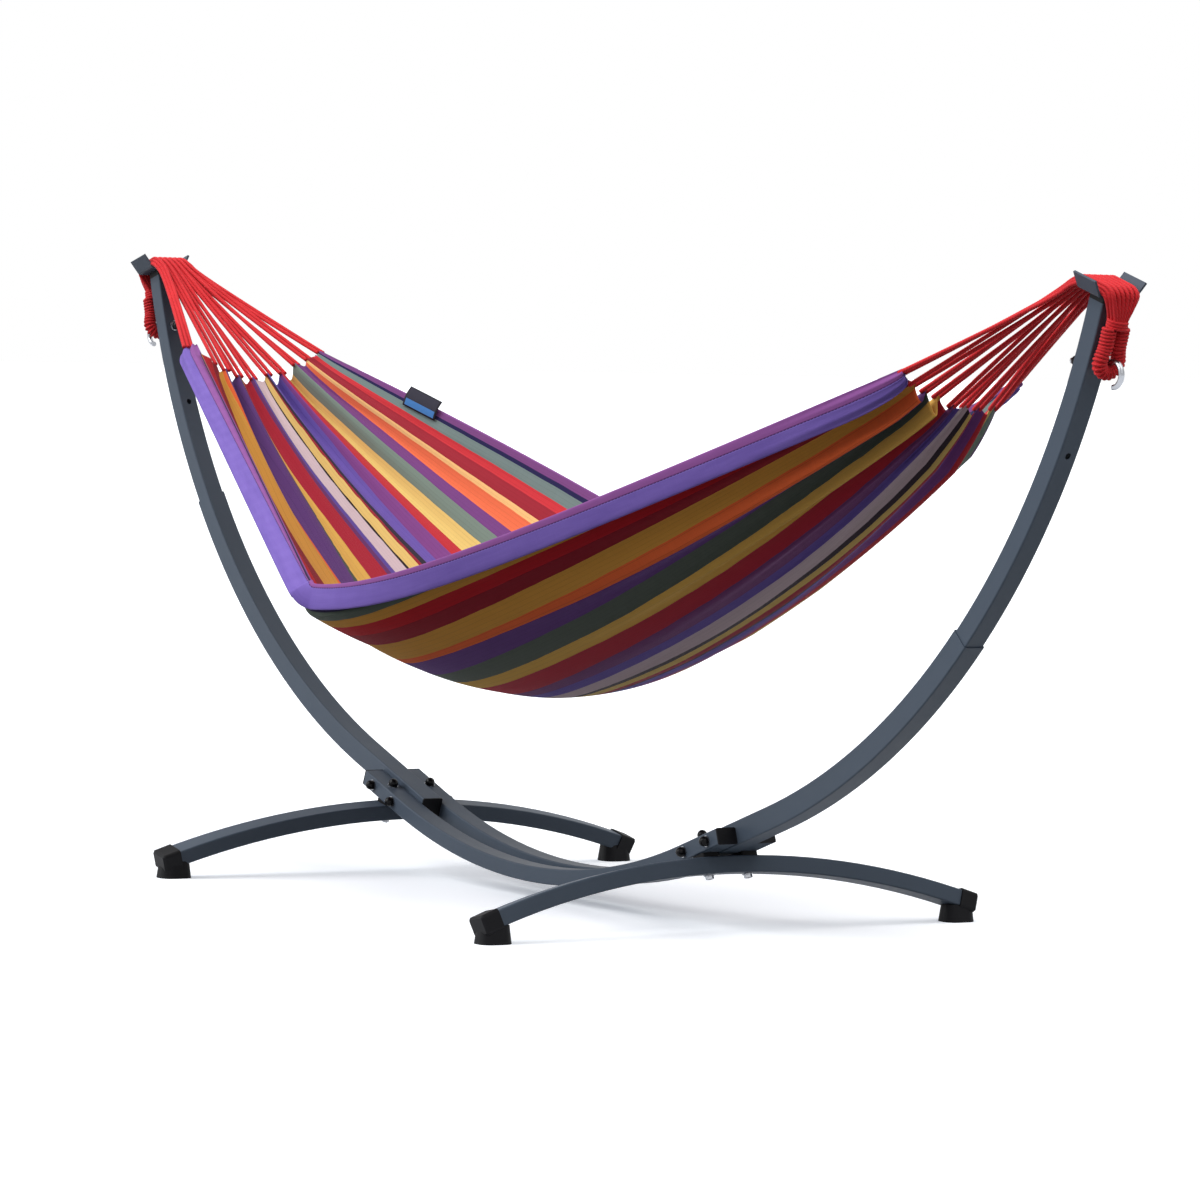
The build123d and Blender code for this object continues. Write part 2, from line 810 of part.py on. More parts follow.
def make_cloth():
    """The cloth as one thin trough, open above, lofted through its cross-sections."""
    stations = [-share for share in cloth_stations[:0:-1]] + list(cloth_stations)
    return loft([cloth_section(share * cloth_half_length) for share in stations])


def make_clew_cords():
    """Straight cords that fan from the right saddle to the end of the cloth."""
    corners, fan = band_corners()
    start_centre = corners[-1] + fan * cord_swing_gap
    lift = Vector(fan.Z, 0, -fan.X)
    inset = 1 - hem_width / 2 / (cloth_curve(cloth_half_length)[1] * cloth_curve(cloth_half_length)[2])
    cords = []
    for index in range(cord_count):
        share = 2 * index / (cord_count - 1) - 1
        layer = cord_layer_step * (index % 3 - 1)
        start = start_centre + Vector(0, share * (band_width - cord_diameter) / 2, 0) + lift * layer
        end = cloth_point(cloth_half_length - cord_seam_depth, share * inset)
        cords.append(rod(start, end, cord_diameter))
    return cords


def mirrored(part):
    """Mirror image of a right-hand solid, for the left end."""
    return mirror(part, about=Plane.YZ)


def group(parts):
    """Several separate solids as one node."""
    return Compound(children=[solid for part in parts for solid in part.solids()])


def build_parts():
    """All nodes of the hammock and its stand by name."""
    foot_beam = make_foot_beam()
    shims = make_shims()
    foot_cap = make_foot_cap()
    top_cap = make_top_cap()
    saddle = make_saddle()
    hook = make_hook()
    eye = make_eye()
    whipping = make_whipping()
    band = make_cord_band()
    cords = make_clew_cords()
    hem = make_hem()
    saddle_screw = top_plane() * make_saddle_screw()
    lock_screws = [make_lock_screw("right"), mirrored(make_lock_screw("left"))]
    return {
        "rail_front": make_rail(-rail_offset),
        "rail_rear": make_rail(rail_offset),
        "rail_end_plugs": group(make_rail_plugs()),
        "foot_beam_right": foot_beam,
        "foot_beam_left": mirrored(foot_beam),
        "foot_shims": group([side for part in shims for side in both_sides(part)]),
        "foot_cap_right_rear": foot_cap,
        "foot_cap_right_front": mirror(foot_cap, about=Plane.XZ),
        "foot_cap_left_rear": mirrored(foot_cap),
        "foot_cap_left_front": mirrored(mirror(foot_cap, about=Plane.XZ)),
        "lower_post_right": make_lower_post("right"),
        "lower_post_left": mirrored(make_lower_post("left")),
        "upper_post_right": make_upper_post("right"),
        "upper_post_left": mirrored(make_upper_post("left")),
        "post_foot_plugs": group(both_sides(make_post_plug())),
        "post_lock_screws": group(lock_screws),
        "joint_bolts": group(make_joint_bolts()),
        "joint_washers": group(make_joint_washers()),
        "joint_caps": group(make_joint_caps()),
        "foot_bolts": group(make_foot_bolts()),
        "foot_washers": group(make_foot_washers()),
        "foot_bolt_caps": group(make_foot_caps_on_bolts()),
        "foot_nuts": group(make_foot_nuts()),
        "top_cap_right": top_cap,
        "top_cap_left": mirrored(top_cap),
        "saddle_right": saddle,
        "saddle_left": mirrored(saddle),
        "saddle_screws": group(both_sides(saddle_screw)),
        "hook_right": hook,
        "hook_left": mirrored(hook),
        "hook_washers": group([side for part in make_hook_washers() for side in both_sides(part)]),
        "hook_nuts": group([side for part in make_hook_nuts() for side in both_sides(part)]),
        "hook_caps": group(both_sides(make_hook_dome())),
        "eye_rope_right": eye,
        "eye_rope_left": mirrored(eye),
        "eye_whipping_right": whipping,
        "eye_whipping_left": mirrored(whipping),
        "saddle_cords_right": band,
        "saddle_cords_left": mirrored(band),
        "hammock_cloth": make_cloth(),
        "hem_rear": hem,
        "hem_front": mirror(hem, about=Plane.XZ),
        "clew_cords_right": group(cords),
        "clew_cords_left": group([mirrored(cord) for cord in cords]),
    }


def main():
    """Write every node to its own file."""
    os.makedirs("parts", exist_ok=True)
    for name, part in build_parts().items():
        export_step(part, f"parts/{name}.step")
        print(name, len(part.solids()), round(sum(solid.volume for solid in part.solids())))


main()
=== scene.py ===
"""Striped cloth hammock on a bent steel stand, dressed for a studio picture.

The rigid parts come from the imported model. Cloth, hems, cords and the wound end loops are built here as
surface grids, in metres and in the frame of the part.
"""

import json
import logging
import math
from dataclasses import dataclass
from enum import Enum
from typing import Dict, List, Optional, Sequence, Tuple, Union

import bpy
import numpy as np
from mathutils import Matrix

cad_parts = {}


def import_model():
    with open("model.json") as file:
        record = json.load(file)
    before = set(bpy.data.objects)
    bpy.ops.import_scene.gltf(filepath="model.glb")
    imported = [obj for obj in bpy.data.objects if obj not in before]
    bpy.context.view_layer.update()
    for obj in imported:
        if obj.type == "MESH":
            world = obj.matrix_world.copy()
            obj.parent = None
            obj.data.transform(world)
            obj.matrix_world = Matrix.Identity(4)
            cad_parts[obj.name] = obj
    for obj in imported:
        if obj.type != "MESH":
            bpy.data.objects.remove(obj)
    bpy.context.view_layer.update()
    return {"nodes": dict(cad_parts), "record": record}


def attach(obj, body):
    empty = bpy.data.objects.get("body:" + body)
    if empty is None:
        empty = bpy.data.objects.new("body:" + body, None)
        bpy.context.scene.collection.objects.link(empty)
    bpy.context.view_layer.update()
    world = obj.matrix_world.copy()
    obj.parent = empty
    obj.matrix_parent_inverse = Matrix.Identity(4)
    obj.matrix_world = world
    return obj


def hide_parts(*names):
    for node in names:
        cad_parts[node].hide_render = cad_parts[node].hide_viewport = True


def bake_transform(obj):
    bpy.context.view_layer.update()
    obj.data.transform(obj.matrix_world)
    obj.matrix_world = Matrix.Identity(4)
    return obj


LOG = logging.getLogger("hammock")

Number = Union[int, float]
Colour = Tuple[float, float, float]
Point = Tuple[float, float, float]
Screen = Tuple[int, int, int]
Pairs = Tuple[Tuple[float, float], ...]

# Upper end of the right post: along it, and square to it away from the middle.
POST_AXIS: Point = (0.287361, 0.0, 0.957822)
POST_OUTWARD: Point = (0.957822, 0.0, -0.287361)
ACROSS: Point = (0.0, 1.0, 0.0)

# Width of one thread both ways, in metres.
WARP_PITCH = 0.0021
WEFT_PITCH = 0.0024

# Numbers of node sockets.
OBJECT_PLACE = 3
MIX_FACTOR, MIX_FIRST, MIX_SECOND, MIX_RESULT = 0, 6, 7, 2
CAMERA_RAY, GLOSSY_RAY, TRANSMISSION_RAY = 0, 3, 6

# Fineness of the curves that cords are read from.
ROUTE_RESOLUTION = 24
ROUTE_ORDER = 3
LEAST_STEPS = 8

LAMP_DISTANCE = 8.0
CLIP_END = 300.0


class Labelled(Enum):
    """Choice whose name is part of node names."""

    @property
    def label(self) -> str:
        """Name as it is used in node names."""
        return self.name.lower()


class Side(Labelled):
    """End of the hammock, with the sign of its X."""

    RIGHT = 1
    LEFT = -1


class Hem(Labelled):
    """Long edge of the cloth, with its share of the width."""

    FRONT = -1
    REAR = 1


class Slot(Enum):
    """Material slots of the record."""

    TUBE_PAINT = "tube_paint"
    SADDLE_PAINT = "saddle_paint"
    BLACK_PLASTIC = "black_plastic"
    BLACK_GLOSS = "black_gloss"
    BRIGHT_STEEL = "bright_steel"
    DARK_STEEL = "dark_steel"
    RED_CORD = "red_cord"
    STRIPED_CLOTH = "striped_cloth"
    VIOLET_HEM = "violet_hem"


@dataclass(frozen=True)
class RimEnd:
    """One end of a rim, and the way the rim runs to it from the middle.

    Attributes:
        x: distance from the middle.
        y: distance from the long axis.
        z: height.
        power: power of the run, one for a straight rim.
        rounding: share of the run that is rounded in the middle.
    """

    x: float
    y: float
    z: float
    power: float
    rounding: float

    def share(self, along: np.ndarray) -> np.ndarray:
        """Share of the way from the end to the middle: one less a power of a rounded distance.

        Args:
            along: shares of the half length, from zero in the middle to one at the end.

        Returns:
            One in the middle, zero at the end.
        """
        full = math.hypot(1.0, self.rounding) - self.rounding
        distance = (np.hypot(along, self.rounding) - self.rounding) / full
        return 1.0 - distance**self.power


@dataclass(frozen=True)
class RimLine:
    """Place of one long rim of the cloth.

    Attributes:
        mid_y: distance of its middle from the long axis.
        mid_z: height of its middle.
        left: its left end.
        right: its right end.
    """

    mid_y: float
    mid_z: float
    left: RimEnd
    right: RimEnd

    def points(self, u: np.ndarray) -> np.ndarray:
        """Points of the rim: each half runs from the middle to its end.

        Args:
            u: shares of the half length, from -1 to 1.

        Returns:
            Array of points, with the distance from the long axis as Y.
        """
        along = np.abs(u)
        halves = [self._half(end, along) for end in (self.left, self.right)]
        points = np.where((u < 0)[..., None], halves[0], halves[1])
        points[..., 0] *= np.sign(u)
        return points

    def _half(self, end: RimEnd, along: np.ndarray) -> np.ndarray:
        """Points of one half, without the sign of X."""
        share = end.share(along)
        y = end.y + (self.mid_y - end.y) * share
        z = end.z + (self.mid_z - end.z) * share
        return np.stack([end.x * along, y, z], -1)


@dataclass(frozen=True)
class StripeBand:
    """One stripe of the cloth.

    Attributes:
        start: share of the weave where the stripe begins, from the front hem at -1 to the rear hem at 1.
        colour: screen values; partly yarn colour, and on the front half also painted shade.
    """

    start: float
    colour: Screen


# The front half's stripes, below zero, are darker and more saturated than their twins on the rear half. They
# are partly the yarn's own colours and partly painted shade, deepened and warmed for the shaded outside and
# the light through the thin cloth. The band at -0.840 is a darker maroon strip within the red stripe.
STRIPES: Tuple[StripeBand, ...] = (
    StripeBand(-1.000, (38, 30, 60)),
    StripeBand(-0.988, (72, 80, 72)),
    StripeBand(-0.953, (208, 146, 62)),
    StripeBand(-0.905, (176, 20, 32)),
    StripeBand(-0.840, (126, 16, 32)),
    StripeBand(-0.770, (208, 146, 62)),
    StripeBand(-0.667, (228, 100, 52)),
    StripeBand(-0.630, (90, 54, 114)),
    StripeBand(-0.525, (72, 78, 70)),
    StripeBand(-0.415, (222, 172, 84)),
    StripeBand(-0.353, (166, 34, 52)),
    StripeBand(-0.232, (100, 48, 98)),
    StripeBand(-0.160, (92, 70, 146)),
    StripeBand(-0.083, (206, 182, 188)),
    StripeBand(0.012, (36, 24, 32)),
    StripeBand(0.045, (224, 188, 112)),
    StripeBand(0.100, (150, 34, 50)),
    StripeBand(0.135, (44, 36, 50)),
    StripeBand(0.155, (106, 84, 164)),
    StripeBand(0.222, (126, 66, 132)),
    StripeBand(0.312, (188, 46, 56)),
    StripeBand(0.360, (226, 192, 114)),
    StripeBand(0.465, (116, 130, 120)),
    StripeBand(0.550, (114, 62, 124)),
    StripeBand(0.620, (234, 112, 74)),
    StripeBand(0.715, (238, 186, 122)),
    StripeBand(0.748, (152, 36, 50)),
    StripeBand(0.825, (202, 52, 60)),
    StripeBand(0.875, (114, 130, 128)),
    StripeBand(0.935, (34, 30, 74)),
    StripeBand(0.958, (122, 70, 128)),
)


def linear(colour: Sequence[Number]) -> Colour:
    """Linear light of red, green and blue screen values from 0 to 255."""
    shares = [value / 255.0 for value in colour]
    return tuple(s / 12.92 if s <= 0.04045 else ((s + 0.055) / 1.055) ** 2.4 for s in shares)


def mirrored(point: Point, side: Side) -> np.ndarray:
    """Point of the right end, moved to the asked end."""
    return np.array(point, float) * np.array((side.value, 1.0, 1.0))


def unit(vectors: np.ndarray) -> np.ndarray:
    """Vectors of the last axis scaled to length one."""
    return vectors / np.maximum(np.linalg.norm(vectors, axis=-1, keepdims=True), 1e-12)


def sideways(distance: float) -> np.ndarray:
    """Vector of a length along Y."""
    return np.array((0.0, distance, 0.0))


def ramp(values: np.ndarray, start: float, run: float) -> np.ndarray:
    """Share that is zero up to the start, one after the run, and straight between."""
    return np.clip((values - start) / run, 0.0, 1.0)


def eased(share: np.ndarray) -> np.ndarray:
    """Share with a soft start and end: three times its square less twice its cube."""
    return share * share * (3.0 - 2.0 * share)


def raised_cosine(count: np.ndarray) -> np.ndarray:
    """Wave that is zero at whole counts and one halfway between them."""
    return 0.5 - 0.5 * np.cos(2.0 * math.pi * count)


def look_up(at: np.ndarray, pairs: Pairs) -> np.ndarray:
    """Value at a place, straight between pairs of a place and a value."""
    return np.interp(at, *np.array(pairs).T)


def run_length(points: np.ndarray) -> np.ndarray:
    """Distance along a row of points: the running sum of its steps."""
    return np.concatenate([[0.0], np.cumsum(np.linalg.norm(np.diff(points, axis=0), axis=1))])


def read_at(places: np.ndarray, length: np.ndarray, points: np.ndarray) -> np.ndarray:
    """Points at places along a row of points whose running length is given, straight between."""
    return np.stack([np.interp(places, length, points[:, axis]) for axis in range(3)], -1)


def spread(values: np.ndarray, way: Sequence[float]) -> np.ndarray:
    """Each value of a row times one direction."""
    return values[:, None] * np.asarray(way, float)[None, :]


def put(name: str, data: bpy.types.ID) -> bpy.types.Object:
    """Make an object and link it to the scene.

    Args:
        name: name of the object.
        data: mesh, curve, lamp or camera it shows.

    Returns:
        The new object.
    """
    obj = bpy.data.objects.new(name, data)
    bpy.context.scene.collection.objects.link(obj)
    return obj


def thicken(obj: bpy.types.Object, thickness: float) -> None:
    """Give a sheet its thickness, half to each side.

    Args:
        obj: object of the sheet.
        thickness: thickness of the cloth.
    """
    shell = obj.modifiers.new("thickness", "SOLIDIFY")
    shell.thickness = thickness
    shell.offset = 0.0


class Expr:
    """A shader socket that joins with numbers and other sockets by Python operators."""

    def __init__(self, graph: "Graph", socket: bpy.types.NodeSocket) -> None:
        """Keep an output socket with its graph."""
        self.graph = graph
        self.socket = socket

    def _math(self, operation: str, *operands: "Value") -> "Expr":
        """Add one math node, with its values in the order of the inputs."""
        return self.graph.node("ShaderNodeMath", {"operation": operation}, dict(enumerate(operands)))[0]

    def __add__(self, other: "Value") -> "Expr":
        """Sum of both values."""
        return self._math("ADD", self, other)

    def __radd__(self, other: "Value") -> "Expr":
        """Sum of both values."""
        return self._math("ADD", other, self)

    def __sub__(self, other: "Value") -> "Expr":
        """First value less the second."""
        return self._math("SUBTRACT", self, other)

    def __rsub__(self, other: "Value") -> "Expr":
        """First value less the second."""
        return self._math("SUBTRACT", other, self)

    def __mul__(self, other: "Value") -> "Expr":
        """Product of both values."""
        return self._math("MULTIPLY", self, other)

    def __rmul__(self, other: "Value") -> "Expr":
        """Product of both values."""
        return self._math("MULTIPLY", other, self)

    def __pow__(self, other: "Value") -> "Expr":
        """First value to the power of the second."""
        return self._math("POWER", self, other)

    def __abs__(self) -> "Expr":
        """Value without its sign."""
        return self._math("ABSOLUTE", self)

    def sine(self) -> "Expr":
        """Sine of the value in radians."""
        return self._math("SINE", self)

    def fraction(self) -> "Expr":
        """Part of the value after the point."""
        return self._math("FRACT", self)

    def above(self, limit: "Value") -> "Expr":
        """One where the value is above the limit, else zero."""
        return self._math("GREATER_THAN", self, limit)

    def below(self, limit: "Value") -> "Expr":
        """One where the value is below the limit, else zero."""
        return self._math("LESS_THAN", self, limit)

    def clipped(self) -> "Expr":
        """Value held between zero and one."""
        return self._math("MINIMUM", self._math("MAXIMUM", self, 0.0), 1.0)


Value = Union[Expr, Number, Colour]


class Graph:
    """Node tree of one material or of the surround."""

    def __init__(self, owner: Union[bpy.types.Material, bpy.types.World]) -> None:
        """Start with an empty tree.

        Args:
            owner: material or world that holds the tree.
        """
        owner.use_nodes = True
        self.tree = owner.node_tree
        self.tree.nodes.clear()

    def node(
        self,
        kind: str,
        settings: Optional[Dict[str, object]] = None,
        inputs: Optional[Dict[Union[int, str], Value]] = None,
    ) -> List[Expr]:
        """Add a node, set its properties, then feed its inputs.

        Args:
            kind: type name of the node.
            settings: properties, with the stops of a colour row under "stops".
            inputs: numbers, colours or expressions by name or number of the input.

        Returns:
            The outputs of the node.
        """
        made = self.tree.nodes.new(kind)
        for key, value in (settings or {}).items():
            if key == "stops":
                self._set_stops(made.color_ramp, value)
            else:
                setattr(made, key, value)
        for key, value in (inputs or {}).items():
            socket = made.inputs[key]
            if isinstance(value, Expr):
                self.tree.links.new(value.socket, socket)
            elif isinstance(value, tuple):
                socket.default_value = (*value, 1.0)
            else:
                socket.default_value = value
        return [Expr(self, socket) for socket in made.outputs]

    def _set_stops(self, row: bpy.types.ColorRamp, stops: Sequence[Tuple[float, Colour]]) -> None:
        """Write the stops of a colour row.

        Args:
            row: colour row of a node.
            stops: place and linear colour of each stop, held up to the next.
        """
        row.interpolation = "CONSTANT"
        while len(row.elements) < len(stops):
            row.elements.new(1.0)
        for element, (place, colour) in zip(row.elements, stops):
            element.position = place
            element.color = (*colour, 1.0)

    def place(self) -> Expr:
        """Position of the shaded point in the frame of the part."""
        return self.node("ShaderNodeTexCoord")[OBJECT_PLACE]

    def uv(self, name: str) -> Tuple[Expr, Expr]:
        """First and second coordinate of a named map."""
        source = self.node("ShaderNodeUVMap", {"uv_map": name})[0]
        return tuple(self.node("ShaderNodeSeparateXYZ", inputs={0: source})[:2])

    def vector(self, x: Value, y: Value, z: Value = 0.0) -> Expr:
        """Three values joined to a vector."""
        return self.node("ShaderNodeCombineXYZ", inputs={0: x, 1: y, 2: z})[0]

    def noise(self, vector: Expr, scale: float, detail: float = 3.0, rough: float = 0.55) -> Expr:
        """Soft random field from zero to one, with a number of cells in a unit of the vector."""
        inputs = {"Vector": vector, "Scale": scale, "Detail": detail, "Roughness": rough}
        return self.node("ShaderNodeTexNoise", inputs=inputs)[0]

    def mix(self, factor: Value, first: Value, second: Value, blend: str = "MIX") -> Expr:
        """Mix of two colours by the share of the second."""
        inputs = {MIX_FACTOR: factor, MIX_FIRST: first, MIX_SECOND: second}
        return self.node("ShaderNodeMix", {"data_type": "RGBA", "blend_type": blend}, inputs)[MIX_RESULT]

    def shade(self, colour: Expr, value: Expr) -> Expr:
        """Colour with its brightness scaled by a value."""
        return self.mix(1.0, colour, self.vector(value, value, value), "MULTIPLY")

    def bump(self, height: Expr, distance: float, strength: float) -> Expr:
        """Normal bent by a height from zero to one, with the depth of the relief in metres."""
        inputs = {"Strength": strength, "Distance": distance, "Height": height}
        return self.node("ShaderNodeBump", inputs=inputs)[0]

    def surface(self, **inputs: Value) -> None:
        """Close a material with one surface shader.

        Args:
            inputs: values by input name, with underscores for spaces.
        """
        named = {key.replace("_", " "): value for key, value in inputs.items()}
        shader = self.node("ShaderNodeBsdfPrincipled", inputs=named)[0]
        self.node("ShaderNodeOutputMaterial", inputs={0: shader})


@dataclass(frozen=True)
class Finish:
    """Base of the finishes.

    Attributes:
        name: name of the material.
    """

    name: str

    def material(self) -> bpy.types.Material:
        """Make the material."""
        made = bpy.data.materials.new(self.name)
        self.write(Graph(made))
        return made

    def write(self, graph: Graph) -> None:
        """Write the nodes of the finish."""
        raise NotImplementedError

    def tints(self, screen: Sequence[Number], low: float, high: float) -> Tuple[Colour, Colour]:
        """A darker and a lighter tone of a screen colour, as linear colours."""
        return linear([v * low for v in screen]), linear([min(v * high, 255.0) for v in screen])

    def weave(self, graph: Graph) -> Tuple[Expr, Expr]:
        """Threads of a plain weave: crossed sine waves, with uneven yarn both ways.

        Args:
            graph: graph of the cloth material.

        Returns:
            Height of the threads and tone of the yarn, both from zero to one.
        """
        along, across = graph.uv("metric")
        warp = (across * (2.0 * math.pi / WARP_PITCH)).sine()
        weft = (along * (2.0 * math.pi / WEFT_PITCH)).sine()
        relief = warp * weft * 0.5 + 0.5
        yarn = graph.noise(graph.vector(along * 14.0, across * 560.0), 1.0, 4.0, 0.6)
        slub = graph.noise(graph.vector(along * 460.0, across * 20.0), 1.0, 3.0, 0.6)
        return relief, yarn * 0.6 + slub * 0.4


@dataclass(frozen=True)
class Coating(Finish):
    """Base of the finishes with one colour and one gloss.

    Attributes:
        screen: screen colour.
        rough: mean roughness.
    """

    screen: Screen
    rough: float


@dataclass(frozen=True)
class BakedPaint(Coating):
    """Baked paint with a fine peel and slight wear."""

    def write(self, graph: Graph) -> None:
        """Write cloudy paint with rubbed spots over a fine peel."""
        place = graph.place()
        peel = graph.noise(place, 420.0, 2.0)
        cloud = graph.noise(place, 6.0, 3.0)
        rub = graph.noise(place, 34.0, 6.0, 0.7)
        dark, light = self.tints(self.screen, 0.95, 1.06)
        bare = self.tints(self.screen, 1, 1.5)[1]
        worn = graph.mix((rub - 0.66).clipped() * 1.4, graph.mix(cloud, dark, light), bare)
        graph.surface(
            Base_Color=worn,
            Roughness=self.rough + (cloud - 0.5) * 0.12 + (rub - 0.5) * 0.12,
            Specular_IOR_Level=0.16,
            Normal=graph.bump(peel, 0.00012, 0.5),
        )


@dataclass(frozen=True)
class Moulding(Coating):
    """Moulded plastic with a faint grain."""

    def write(self, graph: Graph) -> None:
        """Write a smeared dark tone over a fine grain."""
        place = graph.place()
        grain = graph.noise(place, 900.0, 2.0)
        smear = graph.noise(place, 40.0, 4.0)
        dark, light = self.tints(self.screen, 0.85, 1.25)
        graph.surface(
            Base_Color=graph.mix(smear, dark, light),
            Roughness=self.rough + (smear - 0.5) * 0.16,
            Specular_IOR_Level=0.12,
            Normal=graph.bump(grain, 0.00008, 0.5),
        )


@dataclass(frozen=True)
class Plating(Coating):
    """Plated steel with fine scuffs."""

    def write(self, graph: Graph) -> None:
        """Write faintly stained metal with scuffs in its gloss."""
        place = graph.place()
        scuff = graph.noise(place, 260.0, 5.0, 0.7)
        stain = graph.noise(place, 28.0, 3.0)
        dark, light = self.tints(self.screen, 0.88, 1.08)
        graph.surface(
            Base_Color=graph.mix(stain, dark, light),
            Metallic=1.0,
            Roughness=self.rough + (scuff - 0.5) * 0.18,
            Normal=graph.bump(scuff, 0.00004, 0.4),
        )


@dataclass(frozen=True)
class LaidCord(Finish):
    """Red cord with fibres along its strands.

    Attributes:
        dark: screen colour of the darker fibres.
        light: screen colour of the lighter fibres.
        strand_pitch: length along the cord from one strand to the next.
        girth: way round the cord.
    """

    dark: Screen = (198, 24, 34)
    light: Screen = (228, 44, 50)
    strand_pitch: float = 0.0057
    girth: float = 0.019

    def write(self, graph: Graph) -> None:
        """Write slanted fibres, with painted shade darkening the grooves between the strands."""
        along, around = graph.uv("metric")
        lay = along * (1.0 / self.strand_pitch) + around * (3.0 / self.girth)
        groove = abs(lay.fraction() - 0.5) * 2.0
        fibre = graph.noise(graph.vector(lay * 9.0, along * 60.0 - around * 900.0), 1.0, 3.0, 0.65)
        cloud = graph.noise(graph.place(), 24.0, 3.0)
        base = graph.mix(cloud, linear(self.dark), linear(self.light))
        graph.surface(
            # The groove term darkens the colour: painted shade in the grooves between the strands.
            Base_Color=graph.shade(base, 0.84 + fibre * 0.34 - (groove**4.0) * 0.32),
            Roughness=0.72 + (fibre - 0.5) * 0.2,
            Specular_IOR_Level=0.25,
            Sheen_Weight=0.06,
            Normal=graph.bump(fibre * 0.5 - groove**3.0, 0.0006, 0.6),
        )


@dataclass(frozen=True)
class StripedCotton(Finish):
    """Woven cotton with stripes along its length.

    Attributes:
        bands: stripes from the front hem to the rear hem.
    """

    bands: Tuple[StripeBand, ...]

    def write(self, graph: Graph) -> None:
        """Write the stripes by the share of the weave, with fine lines and uneven yarn."""
        along, share = graph.uv("stripe")
        relief, yarn = self.weave(graph)
        waver = graph.noise(graph.vector(along * 30.0, share * 6.0), 1.0, 2.0) - 0.5
        place = share + waver * 0.003
        stops = [(band.start * 0.5 + 0.5, linear(band.colour)) for band in self.bands]
        # Stripe colours from the ramp, with the painted shade of the front half in them.
        dye_and_painted_shade = graph.node("ShaderNodeValToRGB", {"stops": stops}, {0: place})[0]
        pinline = (abs((place * 92.0 + 0.3).fraction() - 0.5) * 2.0).above(0.93) * 0.2
        graph.surface(
            Base_Color=graph.shade(dye_and_painted_shade, 0.82 + yarn * 0.34 - pinline),
            Roughness=0.82 + (yarn - 0.5) * 0.16,
            Specular_IOR_Level=0.14,
            Sheen_Weight=0.04,
            Normal=graph.bump(relief * 0.6 + yarn * 0.7, 0.0007, 0.55),
        )


@dataclass(frozen=True)
class RolledViolet(Finish):
    """Violet rolled hem with a line of stitches.

    Attributes:
        dark: screen colour of the darker cloth.
        light: screen colour of the lighter cloth.
        rim: screen colour of the cloth at the rim.
        thread: screen colour of the stitches.
        stitch_pitch: length from one stitch to the next.
    """

    dark: Screen = (100, 78, 158)
    light: Screen = (128, 104, 186)
    rim: Screen = (136, 78, 144)
    thread: Screen = (54, 36, 88)
    stitch_pitch: float = 0.007

    def write(self, graph: Graph) -> None:
        """Write clouded violet with a purple rim and a sewn ditch between the two, the ditch darkened with
        painted shade.
        """
        run, around = graph.uv("stripe")
        length, _ = graph.uv("metric")
        relief, yarn = self.weave(graph)
        seam = abs(run - 0.5) * 0.56 + 0.16
        edge = abs(around - seam)
        stitch = edge.below(0.014) * (length * (1.0 / self.stitch_pitch)).fraction().below(0.62)
        ditch = (1.0 - edge * 26.0).clipped()
        cloud = graph.noise(graph.vector(length * 9.0, around * 3.0), 1.0, 4.0)
        band = graph.mix(cloud, linear(self.dark), linear(self.light))
        base = graph.mix(around.below(seam), band, linear(self.rim))
        # The ditch term darkens the colour along the seam: painted shade in the sewn ditch.
        dye_and_painted_shade = graph.shade(base, 0.86 + yarn * 0.28 - ditch * 0.2)
        graph.surface(
            Base_Color=graph.mix(stitch, dye_and_painted_shade, linear(self.thread)),
            Roughness=0.78 + (yarn - 0.5) * 0.16,
            Specular_IOR_Level=0.18,
            Sheen_Weight=0.05,
            Normal=graph.bump(relief * 0.3 + cloud * 0.8 - ditch, 0.0012, 0.5),
        )


@dataclass(frozen=True)
class RibbedTag(Finish):
    """Plain dark woven tag with a sewn edge.

    Attributes:
        upper: screen colour of the upper field.
        lower: screen colour of the lower field.
        rim: screen colour of the sewn edge.
    """

    upper: Screen = (36, 34, 48)
    lower: Screen = (62, 120, 184)
    rim: Screen = (28, 26, 36)

    def write(self, graph: Graph) -> None:
        """Write two plain fields with fine ribs, painted light and shade across the ribs, and a darker rim.
        """
        along, across = graph.uv("stripe")
        rib = (across * 260.0).sine() * 0.5 + 0.5
        cloud = graph.noise(graph.place(), 160.0, 4.0)
        edge = abs(along - 0.5).above(0.45) + abs(across - 0.5).above(0.43)
        base = graph.mix(across.above(0.62), linear(self.upper), linear(self.lower))
        # The rib term lightens the rib crests and darkens between them: painted light and painted shade on
        # the ribs.
        dye_and_painted_shade = graph.shade(base, 0.8 + cloud * 0.3 + rib * 0.1)
        graph.surface(
            Base_Color=graph.mix(edge.clipped(), dye_and_painted_shade, linear(self.rim)),
            Roughness=0.66 + (cloud - 0.5) * 0.2,
            Specular_IOR_Level=0.2,
            Normal=graph.bump(rib * 0.5 + cloud * 0.5, 0.0004, 0.5),
        )


@dataclass(frozen=True)
class PaleFloor(Finish):
    """Plain pale floor that shows white beside the soft shadows.

    Attributes:
        glow: light of its own.
    """

    glow: float = 0.34

    def write(self, graph: Graph) -> None:
        """Write a faintly clouded white with a little light of its own."""
        cloud = graph.noise(graph.place(), 0.6, 2.0)
        graph.surface(
            Base_Color=graph.mix(cloud, linear((249, 249, 251)), linear((254, 254, 255))),
            Roughness=0.9,
            Specular_IOR_Level=0.0,
            Emission_Color=(0.84, 0.91, 1.0),
            Emission_Strength=self.glow,
        )


